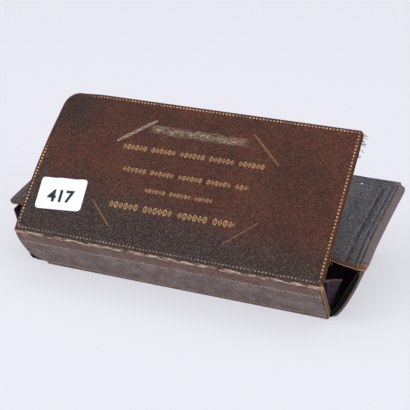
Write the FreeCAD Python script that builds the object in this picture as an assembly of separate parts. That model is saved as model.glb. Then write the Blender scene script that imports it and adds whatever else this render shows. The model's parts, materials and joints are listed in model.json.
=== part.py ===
import FreeCAD, Part
import math
import os

# A leather surgical instrument case that wraps round its contents.
# Millimetres, +X along the case, +Y from the mouth to the back, +Z up.
# The origin is the middle of the base's underside, where the case rests.
# Every panel is a sandwich of outer leather, board and silk lining, and the
# panels are joined by rolled leather folds, whose centre lines are the hinges.

# Sheets
leather_thickness = 1.1
board_thickness = 2.2
lining_thickness = 0.7
thin_leather_thickness = 1.0
thin_board_thickness = 1.4
thin_lining_thickness = 0.6
fold_gap = 0.4
seat_gap = 0.4

# Base
base_depth = 100.0
base_span = 203.6

# Front spine and cover
cover_length = 200.0
cover_offset = 2.0
cover_width = 100.7
cover_rise_angle = 42.1
front_spine_width = 36.2
front_spine_lean_angle = 33.7
worn_corner_radius = 10.0
crisp_corner_radius = 1.6
spine_corner_radius = 9.0

# Slits in the cover that held a card, in from its ends and from its fold or free edge
slit_width = 0.8
slit_inner_from_end = 63.5
slit_outer_from_end = 46.0
slit_inner_from_edge = 12.8
slit_outer_from_edge = 29.5

# Paper label on the cover
label_length = 31.6
label_height = 21.8
label_thickness = 0.25
label_corner_radius = 2.4
label_from_end = 22.0
label_from_fold = 27.5
label_turn_angle = 4.7

# Rear spine and inner flap
rear_spine_width = 45.5
rear_spine_lean_angle = 8.2
flap_length = 239.0
flap_lip_setback = 9.7
flap_tilt_angle = 7.0

# End walls
wall_front_inset = 0.1
wall_rear_inset = 0.8
wall_foot_setback = 2.5
wall_top_setback = 8.6
corner_gap = 1.5
wall_rear_setback = 5.2
spine_end_gap = 4.0
wall_fold_end_gap = 0.8

# Silk furniture on the base
front_wall_height = 23.5
front_wall_board_thickness = 1.6
front_wall_silk_thickness = 0.6
front_wall_setback = 3.0
pad_thickness = 4.0
pad_margin = 6.0
ribbon_width = 14.0
ribbon_thickness = 0.8
ribbon_end_margin = 5.0
ribbon_place_shares = (0.28, 0.72)

# Worked out from the sheets
panel_thickness = leather_thickness + board_thickness + lining_thickness
thin_panel_thickness = thin_leather_thickness + thin_board_thickness + thin_lining_thickness
fold_radius = panel_thickness / 2
fold_reach = fold_radius + fold_gap
thin_inner_offset = thin_panel_thickness - fold_radius

# Hinge lines, as (y, z) for the ones along X and (x, z) for the ends
hinge_height = fold_radius
front_hinge = (-base_depth / 2, hinge_height)
rear_hinge = (base_depth / 2, hinge_height)
wall_hinge_x = base_span / 2


def along(start, angle, length):
    """The (y, z) point a length away from start, at an angle up from +Y."""
    turn = math.radians(angle)
    return (start[0] + length * math.cos(turn), start[1] + length * math.sin(turn))


quarter_turn = 90.0
half_turn = 180.0
front_spine_angle = quarter_turn + front_spine_lean_angle
rear_spine_angle = quarter_turn - rear_spine_lean_angle
flap_angle = half_turn + flap_tilt_angle
cover_hinge = along(front_hinge, front_spine_angle, front_spine_width)
flap_hinge = along(rear_hinge, rear_spine_angle, rear_spine_width)
flap_run = flap_hinge[0] - front_hinge[0] - flap_lip_setback
flap_depth = flap_run / math.cos(math.radians(flap_tilt_angle))

x_axis = FreeCAD.Vector(1, 0, 0)
y_axis = FreeCAD.Vector(0, 1, 0)
z_axis = FreeCAD.Vector(0, 0, 1)


def save(shape, node):
    """Write one node."""
    shape.exportStep("parts/" + node + ".step")


def rounded_outline(corners, radii):
    """A closed wire through (x, s) corners in order, each with its own radius."""
    count = len(corners)
    starts = []
    ends = []
    middles = []
    for i in range(count):
        here = FreeCAD.Vector(corners[i][0], corners[i][1], 0)
        before = FreeCAD.Vector(corners[i - 1][0], corners[i - 1][1], 0) - here
        after = FreeCAD.Vector(corners[(i + 1) % count][0], corners[(i + 1) % count][1], 0) - here
        before.normalize()
        after.normalize()
        half_angle = before.getAngle(after) / 2
        radius = radii[i]
        setback = radius / math.tan(half_angle)
        bisector = before + after
        bisector.normalize()
        starts.append(here + before * setback)
        ends.append(here + after * setback)
        middles.append(here + bisector * (radius / math.sin(half_angle) - radius))
    edges = []
    for i in range(count):
        if radii[i] > 0:
            edges.append(Part.Arc(starts[i], middles[i], ends[i]).toShape())
        edges.append(Part.LineSegment(ends[i], starts[(i + 1) % count]).toShape())
    return Part.Wire(edges)


def sheet(corners, radii, low, high):
    """A flat sheet: an outline in X and s, between two offsets along its normal."""
    face = Part.Face(rounded_outline(corners, radii))
    solid = face.extrude(z_axis * (high - low))
    solid.translate(z_axis * low)
    return solid


def stand(shape, hinge, angle):
    """Turn a sheet's s direction up from +Y by the angle and put s = 0 on its hinge."""
    placed = shape.copy()
    placed.rotate(FreeCAD.Vector(0, 0, 0), x_axis, angle)
    placed.translate(FreeCAD.Vector(0, hinge[0], hinge[1]))
    return placed


def full_stack(outward):
    """Offsets of leather, board and lining from the fold's centre, outermost first."""
    outer = outward * fold_radius
    under_leather = outward * (fold_radius - leather_thickness)
    under_board = outward * (fold_radius - leather_thickness - board_thickness)
    inner = outward * (fold_radius - panel_thickness)
    return {"leather": (outer, under_leather), "board": (under_leather, under_board),
            "lining": (under_board, inner)}


def thin_stack(outward):
    """The same for the thinner panels, flush with the fold on the outside."""
    outer = outward * fold_radius
    under_leather = outward * (fold_radius - thin_leather_thickness)
    under_board = outward * (fold_radius - thin_leather_thickness - thin_board_thickness)
    inner = outward * (fold_radius - thin_panel_thickness)
    return {"leather": (outer, under_leather), "board": (under_leather, under_board),
            "lining": (under_board, inner)}


def layered_panel(name, corners, radii, stack, hinge, angle):
    """The three sheets of one flat panel, by node name."""
    made = {}
    for layer, offsets in stack.items():
        low = min(offsets)
        high = max(offsets)
        made[name + "_" + layer] = stand(sheet(corners, radii, low, high), hinge, angle)
    return made


def fold_along_x(low_x, high_x, hinge):
    """A rolled leather fold whose centre line is the hinge."""
    start = FreeCAD.Vector(low_x, hinge[0], hinge[1])
    return Part.makeCylinder(fold_radius, high_x - low_x, start, x_axis)


def base_panel():
    half_x = wall_hinge_x - fold_reach
    far = base_depth - fold_reach
    corners = [(-half_x, fold_reach), (half_x, fold_reach), (half_x, far), (-half_x, far)]
    radii = [0, 0, 0, 0]
    return layered_panel("base", corners, radii, full_stack(-1), front_hinge, 0)


cover_low_x = cover_offset - cover_length / 2
cover_high_x = cover_offset + cover_length / 2


def front_spine_panel():
    far = front_spine_width - fold_reach
    corners = [(cover_low_x, fold_reach), (cover_high_x, fold_reach),
               (cover_high_x, far), (cover_low_x, far)]
    radii = [spine_corner_radius - fold_reach, 0, 0, 0]
    made = layered_panel("front_spine", corners, radii, full_stack(1), front_hinge,
                         front_spine_angle)
    made["front_hinge_fold"] = fold_along_x(cover_low_x + spine_corner_radius, cover_high_x,
                                            front_hinge)
    return made


def card_slit(inner, outer):
    """A slanted cutter right through the leather from one (x, s) point to another."""
    run = FreeCAD.Vector(outer[0] - inner[0], outer[1] - inner[1], 0)
    length = run.Length
    cutter = Part.makeBox(length, slit_width, panel_thickness)
    cutter.translate(FreeCAD.Vector(0, -slit_width / 2, fold_radius - leather_thickness))
    turn = math.degrees(math.atan2(run.y, run.x))
    cutter.rotate(FreeCAD.Vector(0, 0, 0), z_axis, turn)
    cutter.translate(FreeCAD.Vector(inner[0], inner[1], 0))
    return cutter


def cover_slits():
    """Four slits round the middle of the cover, mirrored left and right."""
    cutters = []
    inner_reach = cover_length / 2 - slit_inner_from_end
    outer_reach = cover_length / 2 - slit_outer_from_end
    for side in (-1, 1):
        inner_x = cover_offset + side * inner_reach
        outer_x = cover_offset + side * outer_reach
        cutters.append(card_slit((inner_x, slit_inner_from_edge), (outer_x, slit_outer_from_edge)))
        high_inner = (inner_x, cover_width - slit_inner_from_edge)
        high_outer = (outer_x, cover_width - slit_outer_from_edge)
        cutters.append(card_slit(high_inner, high_outer))
    return cutters


def cover_panel():
    corners = [(cover_low_x, fold_reach), (cover_high_x, fold_reach),
               (cover_high_x, cover_width), (cover_low_x, cover_width)]
    radii = [0, 0, crisp_corner_radius, worn_corner_radius]
    made = layered_panel("cover", corners, radii, full_stack(1), cover_hinge, cover_rise_angle)
    for cutter in cover_slits():
        placed = stand(cutter, cover_hinge, cover_rise_angle)
        made["cover_leather"] = made["cover_leather"].cut(placed)
    made["cover_fold"] = fold_along_x(cover_low_x, cover_high_x, cover_hinge)
    return made


def paper_label():
    half_x = label_length / 2
    half_s = label_height / 2
    corners = [(-half_x, -half_s), (half_x, -half_s), (half_x, half_s), (-half_x, half_s)]
    radii = [label_corner_radius] * len(corners)
    label = sheet(corners, radii, fold_radius, fold_radius + label_thickness)
    label.rotate(FreeCAD.Vector(0, 0, 0), z_axis, label_turn_angle)
    label.translate(FreeCAD.Vector(cover_low_x + label_from_end, label_from_fold, 0))
    return stand(label, cover_hinge, cover_rise_angle)


def flap_underside(y):
    """Height of the closed flap's underside at a place along Y."""
    slope = math.radians(flap_tilt_angle)
    below = thin_inner_offset / math.cos(slope)
    return flap_hinge[1] - (flap_hinge[0] - y) * math.tan(slope) - below


def rear_spine_inside(z):
    """Where the rear spine's lining stands, along Y, at a height."""
    slope = math.radians(rear_spine_lean_angle)
    return rear_hinge[0] + (z - hinge_height) * math.tan(slope) - fold_radius / math.cos(slope)


def wall_outline():
    """Foot and top corners of a right-hand end wall's outer face, and the way in from it."""
    front_top_x = flap_length / 2 - wall_front_inset
    rear_top_x = flap_length / 2 - wall_rear_inset
    mean_run = (front_top_x + rear_top_x) / 2 - wall_hinge_x
    lean = math.atan2(mean_run, flap_underside(0) - hinge_height)
    inward = FreeCAD.Vector(-math.cos(lean), 0, math.sin(lean))
    foot_x = wall_hinge_x + fold_reach * math.sin(lean) + fold_radius * math.cos(lean)
    foot_z = hinge_height + fold_reach * math.cos(lean) - fold_radius * math.sin(lean)
    front_foot_y = front_hinge[0] + wall_foot_setback
    front_top_y = front_hinge[0] + wall_top_setback
    rear_foot_y = rear_spine_inside(foot_z) - corner_gap
    rear_top_y = rear_spine_inside(flap_hinge[1]) - wall_rear_setback
    drop = seat_gap + thin_panel_thickness * math.sin(lean)
    foot = [FreeCAD.Vector(foot_x, front_foot_y, foot_z), FreeCAD.Vector(foot_x, rear_foot_y, foot_z)]
    top = [FreeCAD.Vector(front_top_x, front_top_y, flap_underside(front_top_y) - drop),
           FreeCAD.Vector(rear_top_x, rear_top_y, flap_underside(rear_top_y) - drop)]
    return foot, top, inward


def wall_layer(side, depth_low, depth_high):
    """One sheet of an end wall, between two depths in from its outer face.

    The wall twists a little from front to back, so each broad face is two
    triangles, split along the same diagonal in every sheet.
    """
    foot, top, inward = wall_outline()
    skins = []
    for depth in (depth_low, depth_high):
        ring = [foot[0], foot[1], top[1], top[0]]
        moved = [point + inward * depth for point in ring]
        skins.append([FreeCAD.Vector(side * point.x, point.y, point.z) for point in moved])
    outlines = []
    for ring in skins:
        outlines.append([ring[0], ring[1], ring[2], ring[0]])
        outlines.append([ring[0], ring[2], ring[3], ring[0]])
    for i in range(len(skins[0])):
        outlines.append([skins[0][i - 1], skins[0][i], skins[1][i], skins[1][i - 1], skins[0][i - 1]])
    faces = [Part.Face(Part.makePolygon(outline)) for outline in outlines]
    solid = Part.makeSolid(Part.makeShell(faces))
    if solid.Volume < 0:
        solid.reverse()
    return solid


def end_wall(name, side):
    """A flared end wall and the fold along its foot."""
    leather_depth = thin_leather_thickness
    board_depth = leather_depth + thin_board_thickness
    made = {
        name + "_leather": wall_layer(side, 0, leather_depth),
        name + "_board": wall_layer(side, leather_depth, board_depth),
        name + "_lining": wall_layer(side, board_depth, thin_panel_thickness),
    }
    front_end = front_hinge[0] + fold_radius + wall_fold_end_gap
    rear_end = rear_hinge[0] - fold_radius - spine_end_gap
    start = FreeCAD.Vector(side * wall_hinge_x, front_end, hinge_height)
    made[name + "_fold"] = Part.makeCylinder(fold_radius, rear_end - front_end, start, y_axis)
    return made


def rear_spine_panel():
    foot_half = wall_hinge_x - fold_reach
    top_half = flap_length / 2 - spine_end_gap
    far = rear_spine_width - fold_reach
    corners = [(-foot_half, fold_reach), (foot_half, fold_reach), (top_half, far), (-top_half, far)]
    radii = [0, 0, 0, 0]
    made = layered_panel("rear_spine", corners, radii, full_stack(-1), rear_hinge,
                         rear_spine_angle)
    made["rear_hinge_fold"] = fold_along_x(-foot_half, foot_half, rear_hinge)
    return made


def inner_flap_panel():
    half_x = flap_length / 2
    lip_radius = thin_panel_thickness / 2
    far = flap_depth - lip_radius
    corners = [(-half_x, fold_reach), (half_x, fold_reach), (half_x, far), (-half_x, far)]
    radii = [crisp_corner_radius, crisp_corner_radius, 0, 0]
    made = layered_panel("inner_flap", corners, radii, thin_stack(-1), flap_hinge, flap_angle)
    made["inner_flap_fold"] = fold_along_x(-half_x, half_x, flap_hinge)
    lip_centre = lip_radius - fold_radius
    lip = Part.makeCylinder(lip_radius, flap_length, FreeCAD.Vector(-half_x, far, lip_centre), x_axis)
    behind = Part.makeBox(flap_length, lip_radius, thin_panel_thickness)
    behind.translate(FreeCAD.Vector(-half_x, far - lip_radius, -fold_radius))
    made["inner_flap_lip"] = stand(lip.cut(behind), flap_hinge, flap_angle)
    return made


def front_wall():
    """A low board behind the mouth, wrapped over its top in silk."""
    half_x = wall_hinge_x - fold_reach
    front_y = front_hinge[0] + front_wall_setback
    floor = panel_thickness
    height = front_wall_height - floor
    silk = front_wall_silk_thickness
    thick = front_wall_board_thickness
    board = Part.makeBox(half_x * 2, thick, height - silk)
    board.translate(FreeCAD.Vector(-half_x, front_y + silk, floor))
    wrap = Part.makeBox(half_x * 2, thick + silk * 2, height)
    wrap.translate(FreeCAD.Vector(-half_x, front_y, floor))
    return {"front_wall_board": board, "front_wall_silk": wrap.cut(board)}


def bed():
    """The padded silk bed and the two flat ribbons whose loops held instruments."""
    half_x = wall_hinge_x - fold_reach - pad_margin
    wall_back = front_hinge[0] + front_wall_setback
    wall_back += front_wall_board_thickness + front_wall_silk_thickness * 2
    near = wall_back + fold_gap
    far = rear_hinge[0] - fold_reach - spine_end_gap
    floor = panel_thickness
    pad = Part.makeBox(half_x * 2, far - near, pad_thickness)
    pad.translate(FreeCAD.Vector(-half_x, near, floor))
    made = {"base_pad": pad}
    ribbon_half = half_x - ribbon_end_margin
    for name, share in zip(("front_loop_ribbon", "rear_loop_ribbon"), ribbon_place_shares):
        middle = near + (far - near) * share
        ribbon = Part.makeBox(ribbon_half * 2, ribbon_width, ribbon_thickness)
        ribbon.translate(FreeCAD.Vector(-ribbon_half, middle - ribbon_width / 2,
                                        floor + pad_thickness))
        made[name] = ribbon
    return made


def main():
    os.makedirs("parts", exist_ok=True)
    nodes = {}
    nodes.update(base_panel())
    nodes.update(front_wall())
    nodes.update(bed())
    nodes.update(front_spine_panel())
    nodes.update(cover_panel())
    nodes["paper_label"] = paper_label()
    nodes.update(rear_spine_panel())
    nodes.update(inner_flap_panel())
    nodes.update(end_wall("left_wall", -1))
    nodes.update(end_wall("right_wall", 1))
    for node, shape in nodes.items():
        save(shape, node)
    print("cover hinge y z", cover_hinge)
    print("flap hinge y z", flap_hinge)


main()
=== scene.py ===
import json
import math
import random

import bmesh
import bpy
from mathutils import Matrix, Vector


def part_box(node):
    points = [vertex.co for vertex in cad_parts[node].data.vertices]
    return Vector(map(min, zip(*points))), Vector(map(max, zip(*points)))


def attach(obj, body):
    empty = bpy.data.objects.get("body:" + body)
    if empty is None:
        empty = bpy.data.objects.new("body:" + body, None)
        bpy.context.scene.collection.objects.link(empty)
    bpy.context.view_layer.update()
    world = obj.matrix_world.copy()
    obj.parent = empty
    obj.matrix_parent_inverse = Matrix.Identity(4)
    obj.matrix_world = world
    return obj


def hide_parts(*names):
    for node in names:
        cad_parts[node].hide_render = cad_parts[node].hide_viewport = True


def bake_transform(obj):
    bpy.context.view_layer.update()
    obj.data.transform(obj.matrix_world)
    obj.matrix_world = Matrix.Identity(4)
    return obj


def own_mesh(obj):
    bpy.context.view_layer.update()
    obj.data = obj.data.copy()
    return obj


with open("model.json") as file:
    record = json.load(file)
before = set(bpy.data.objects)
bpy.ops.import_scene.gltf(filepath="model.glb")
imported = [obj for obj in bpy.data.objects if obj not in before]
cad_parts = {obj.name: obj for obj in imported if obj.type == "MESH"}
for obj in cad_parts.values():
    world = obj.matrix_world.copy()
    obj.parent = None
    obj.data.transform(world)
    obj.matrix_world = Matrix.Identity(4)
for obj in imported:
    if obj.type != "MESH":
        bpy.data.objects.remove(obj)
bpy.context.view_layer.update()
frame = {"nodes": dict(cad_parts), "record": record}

bl_info = {
    "name": "Leather instrument case",
    "version": (1, 0, 0),
    "blender": (4, 5, 0),
    "location": "3D View > Sidebar > Case",
    "description": "Dresses a folding surgeon's case in leather, silk and gilt round its packed frame",
    "category": "Object",
}

MM = 0.001


def tone(red, green, blue):
    """A screen colour, 0 to 255, as the linear colour that a shader takes."""
    linear = []
    for channel in (red, green, blue):
        share = channel / 255
        linear.append(share / 12.92 if share <= 0.04045 else ((share + 0.055) / 1.055) ** 2.4)
    return tuple(linear)


# Places that come from the frame, in metres

HINGES = {joint["name"]: Vector(joint["pos_m"]) for joint in frame["record"]["behaviour"]["joints"]}


def stack_box(*nodes):
    """The lowest and highest corners of several frame nodes together."""
    lows = [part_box(node)[0] for node in nodes]
    highs = [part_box(node)[1] for node in nodes]
    low = Vector([min(corner[axis] for corner in lows) for axis in range(3)])
    high = Vector([max(corner[axis] for corner in highs) for axis in range(3)])
    return low, high


def line_angle(start, end):
    """Angle up from +Y of the line from one point to another."""
    return math.atan2(end.z - start.z, end.y - start.y)


def rise_angle(hinge, nodes, middle_offset):
    """Angle up from +Y of a flat panel, whose middle lies an offset off the line from its hinge."""
    low, high = stack_box(*nodes)
    reach = (low + high) / 2 - hinge
    run = math.hypot(reach.y, reach.z)
    return math.atan2(reach.z, reach.y) - math.asin(middle_offset / run)


FRONT_HINGE = HINGES["front_spine_fold"]
COVER_HINGE = HINGES["cover_fold"]
REAR_HINGE = HINGES["rear_spine_fold"]
FLAP_HINGE = HINGES["inner_flap_fold"]
FOLD_RADIUS = FRONT_HINGE.z
SPINE_REACH = (COVER_HINGE - FRONT_HINGE).length
REAR_REACH = (FLAP_HINGE - REAR_HINGE).length
COVER_STACK = ("cover_leather", "cover_board", "cover_lining")
FLAP_STACK = ("inner_flap_leather", "inner_flap_board", "inner_flap_lining")
SPINE_ANGLE = line_angle(FRONT_HINGE, COVER_HINGE)
COVER_ANGLE = rise_angle(COVER_HINGE, COVER_STACK, 0)
REAR_ANGLE = line_angle(REAR_HINGE, FLAP_HINGE)
THIN_PANEL = 3.0 * MM
FLAP_ANGLE = rise_angle(FLAP_HINGE, FLAP_STACK, THIN_PANEL / 2 - FOLD_RADIUS)
if FLAP_ANGLE < 0:
    FLAP_ANGLE += 2 * math.pi
COVER_LOW_X, COVER_HIGH_X = [corner.x for corner in stack_box(*COVER_STACK)]
FLAP_HALF = stack_box(*FLAP_STACK)[1].x


def reach_along(angle, nodes, thickness):
    """A flat panel's length along its own slope, worked out from the box round it."""
    low, high = stack_box(*nodes)
    up, out = abs(math.sin(angle)), abs(math.cos(angle))
    run = high.z - low.z if up > out else high.y - low.y
    return (run - thickness * min(up, out)) / max(up, out)


FOLD_CLEAR = 0.4 * MM
FOLD_REACH = FOLD_RADIUS + FOLD_CLEAR
COVER_REACH = FOLD_REACH + reach_along(COVER_ANGLE, COVER_STACK, 2 * FOLD_RADIUS)
FLAP_REACH = (FLAP_HINGE.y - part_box("inner_flap_lip")[0].y) / abs(math.cos(FLAP_ANGLE))
COVER_BEND = SPINE_ANGLE - COVER_ANGLE
FLAP_BEND = FLAP_ANGLE - REAR_ANGLE
FRONT_BEND = math.pi - SPINE_ANGLE
REAR_BEND = REAR_ANGLE


class CaseSizes(bpy.types.PropertyGroup):
    """Sizes of the leather and silk that dress the frame."""

    skin: bpy.props.FloatProperty(
        name="Leather skin", description="Thickness of the turned-in leather",
        default=0.35 * MM, unit="LENGTH")
    proud: bpy.props.FloatProperty(
        name="Proud", description="How far the leather stands outside its board",
        default=0.4 * MM, unit="LENGTH")
    turn_in: bpy.props.FloatProperty(
        name="Turn-in", description="Width of the leather turned over on the inside",
        default=5.0 * MM, unit="LENGTH")
    edge_round: bpy.props.FloatProperty(
        name="Edge round", description="Rounding of the panels' edges",
        default=1.0 * MM, unit="LENGTH")
    worn_corner: bpy.props.FloatProperty(
        name="Worn corner", description="Radius of the cover's worn corner",
        default=10.0 * MM, unit="LENGTH")
    spine_corner: bpy.props.FloatProperty(
        name="Spine corner", description="Radius of the front spine's lower left corner",
        default=12.0 * MM, unit="LENGTH")
    wall_bulge: bpy.props.FloatProperty(
        name="Wall bulge", description="How far the end walls' leather stands off the board",
        default=3.0 * MM, unit="LENGTH")


class CaseColours(bpy.types.PropertyGroup):
    """Colours of the leathers, silk, gilt and paper."""

    brown: bpy.props.FloatVectorProperty(
        name="Brown leather", description="Ground colour of the cover",
        default=tone(82, 45, 32), subtype="COLOR", size=3, min=0, max=1)
    umber: bpy.props.FloatVectorProperty(
        name="Dark leather", description="Darker, greyer colour of the rubbed leather",
        default=tone(66, 57, 53), subtype="COLOR", size=3, min=0, max=1)
    # The grey is partly the leather's own colour and partly painted sheen of the light from above.
    grey: bpy.props.FloatVectorProperty(
        name="Grey leather", description="Paler ground colour of the inner flap and rear spine",
        default=tone(108, 102, 104), subtype="COLOR", size=3, min=0, max=1)
    tan: bpy.props.FloatVectorProperty(
        name="Worn leather", description="Colour where the leather is worn through",
        default=tone(98, 56, 30), subtype="COLOR", size=3, min=0, max=1)
    gilt: bpy.props.FloatVectorProperty(
        name="Gilt", description="Colour of the gold tooling",
        default=tone(222, 180, 138), subtype="COLOR", size=3, min=0, max=1)
    silk: bpy.props.FloatVectorProperty(
        name="Silk", description="Colour of the silk lining",
        default=tone(88, 48, 88), subtype="COLOR", size=3, min=0, max=1)
    paper: bpy.props.FloatVectorProperty(
        name="Paper", description="Colour of the number label",
        default=tone(244, 245, 250), subtype="COLOR", size=3, min=0, max=1)


class CaseStage(bpy.types.PropertyGroup):
    """The floor, the lamps and the camera's lens."""

    floor: bpy.props.FloatVectorProperty(
        name="Floor", description="Colour of the floor",
        default=tone(234, 234, 242), subtype="COLOR", size=3, min=0, max=1)
    sky: bpy.props.FloatProperty(
        name="Ambient", description="Strength of the even light from all round", default=0.7)
    key: bpy.props.FloatProperty(
        name="Key lamp", description="Power of the front left lamp", default=6.6, unit="POWER")
    fill: bpy.props.FloatProperty(
        name="Fill lamp", description="Power of the front right lamp", default=4.8, unit="POWER")
    lens: bpy.props.FloatProperty(
        name="Lens", description="Focal length in millimetres", default=101.6)


def sizes():
    """The case's sizes, as they are set in the sidebar."""
    return bpy.context.scene.case_sizes


def colours():
    """The case's colours, as they are set in the sidebar."""
    return bpy.context.scene.case_colours


# Modelling

# Share of a radius within which a point counts as lying on a line
NEARNESS = 0.01
CORNER_STEPS = 6


def clear_selection():
    """Leave edit mode and deselect everything."""
    if bpy.context.object and bpy.context.object.mode != "OBJECT":
        bpy.ops.object.mode_set(mode="OBJECT")
    bpy.ops.object.select_all(action="DESELECT")


def active(piece):
    """Make a piece the only one selected, in object mode."""
    clear_selection()
    piece.select_set(True)
    bpy.context.view_layer.objects.active = piece


def edit(piece):
    """Take a piece into edit mode."""
    active(piece)
    bpy.ops.object.mode_set(mode="EDIT")


def apply_place(piece):
    """Move a piece's place, turn and scale into its mesh."""
    active(piece)
    bpy.ops.object.transform_apply(location=True, rotation=True, scale=True)


def flat_plane(name, low, high):
    """A single rectangle in the XY plane, from one (x, y) corner to the other."""
    clear_selection()
    middle = ((low[0] + high[0]) / 2, (low[1] + high[1]) / 2, 0)
    bpy.ops.mesh.primitive_plane_add(size=1, location=middle)
    piece = bpy.context.object
    piece.name = name
    piece.scale = (high[0] - low[0], high[1] - low[1], 1)
    apply_place(piece)
    return piece


def pick(piece, kind, test):
    """In edit mode, select only the vertices, edges or faces that pass a test."""
    bpy.ops.mesh.select_mode(type=kind)
    bpy.ops.mesh.select_all(action="DESELECT")
    body = bmesh.from_edit_mesh(piece.data)
    kinds = {"VERT": body.verts, "EDGE": body.edges, "FACE": body.faces}
    for item in kinds[kind]:
        if test(item):
            item.select_set(True)
    body.select_flush_mode()
    bmesh.update_edit_mesh(piece.data)


def cut_across(axis, places):
    """Cut the mesh in edit mode by planes square to an axis: 0 for X, 1 for Y and 2 for Z."""
    normal = Vector([1.0 if axis == number else 0.0 for number in range(3)])
    for place in places:
        bpy.ops.mesh.select_all(action="SELECT")
        bpy.ops.mesh.bisect(plane_co=normal * place, plane_no=normal)


def round_corner(piece, corner, radius):
    """Round one corner of a flat outline."""
    target = Vector((corner[0], corner[1], 0))
    pick(piece, "VERT", lambda vert: (vert.co - target).length < radius * NEARNESS)
    bpy.ops.mesh.bevel(offset=radius, segments=CORNER_STEPS, affect="VERTICES")


def finish_modifier(piece, kind, **values):
    """Add a modifier, set it and apply it."""
    active(piece)
    modifier = piece.modifiers.new(kind.lower(), kind)
    for key, value in values.items():
        setattr(modifier, key, value)
    bpy.ops.object.modifier_apply(modifier=modifier.name)


def turn_faces(piece):
    """Turn every face over, on a shape that has been mirrored."""
    edit(piece)
    bpy.ops.mesh.select_all(action="SELECT")
    bpy.ops.mesh.flip_normals()
    bpy.ops.object.mode_set(mode="OBJECT")


def note_flat(piece):
    """Keep the flat cut's own coordinates, in millimetres, for the patterns."""
    attribute = piece.data.attributes.new("flat", "FLOAT_VECTOR", "POINT")
    for vert, item in zip(piece.data.vertices, attribute.data):
        item.vector = vert.co / MM


# With no window open, the rotate operator turns the other way.
TURN_SIGN = -1


def roll_fold(piece, start, bend, radius, rows):
    """Roll all that lies past a line round a fold, away from the outer face.

    The sheet has rows every arc step past the line, and its outer face stands
    a radius above the fold's centre.
    """
    arc_step = 2 * radius * math.sin(bend / rows / 2)
    place = Vector((0, start, radius))
    heading = 0.0
    active(piece)
    flat_y = [item.vector.y * MM for item in piece.data.attributes["flat"].data]
    edit(piece)
    for row in range(rows + 1):
        turn = bend / rows if 0 < row < rows else bend / rows / 2
        line = start + row * radius * bend / rows
        pick(piece, "VERT", lambda vert: flat_y[vert.index] > line + radius * NEARNESS)
        bpy.ops.transform.rotate(value=TURN_SIGN * -turn, orient_axis="X", orient_type="GLOBAL",
                                 center_override=place)
        heading += turn
        place = place + Vector((0, math.cos(heading), -math.sin(heading))) * arc_step
    bpy.ops.object.mode_set(mode="OBJECT")


def put(piece, origin, along, outward):
    """Set a flat piece in place: its Y runs along, its Z points outward."""
    across = along.cross(outward)
    turn = Matrix((across, along, outward)).transposed().to_4x4()
    active(piece)
    piece.matrix_world = Matrix.Translation(origin) @ turn
    bpy.context.view_layer.update()
    apply_place(piece)


ACROSS = Vector((1, 0, 0))
BACK = Vector((0, 1, 0))
UP = Vector((0, 0, 1))


def direction(angle):
    """The direction at an angle up from +Y, square to the case's length."""
    return Vector((0, math.cos(angle), math.sin(angle)))


def smooth(piece, angle_degrees=40):
    """Shade a piece smooth, except over edges sharper than an angle."""
    active(piece)
    bpy.ops.object.shade_smooth_by_angle(angle=math.radians(angle_degrees))


def fold_span(hinge, before, after, radius, bend):
    """Both ends of the stretch of a fold where a piece passes from one body to the next."""
    aim = (before + after).normalized()
    half = radius * math.sin(bend / 2)
    return hinge - aim * half, hinge + aim * half


# Shader building

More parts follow.
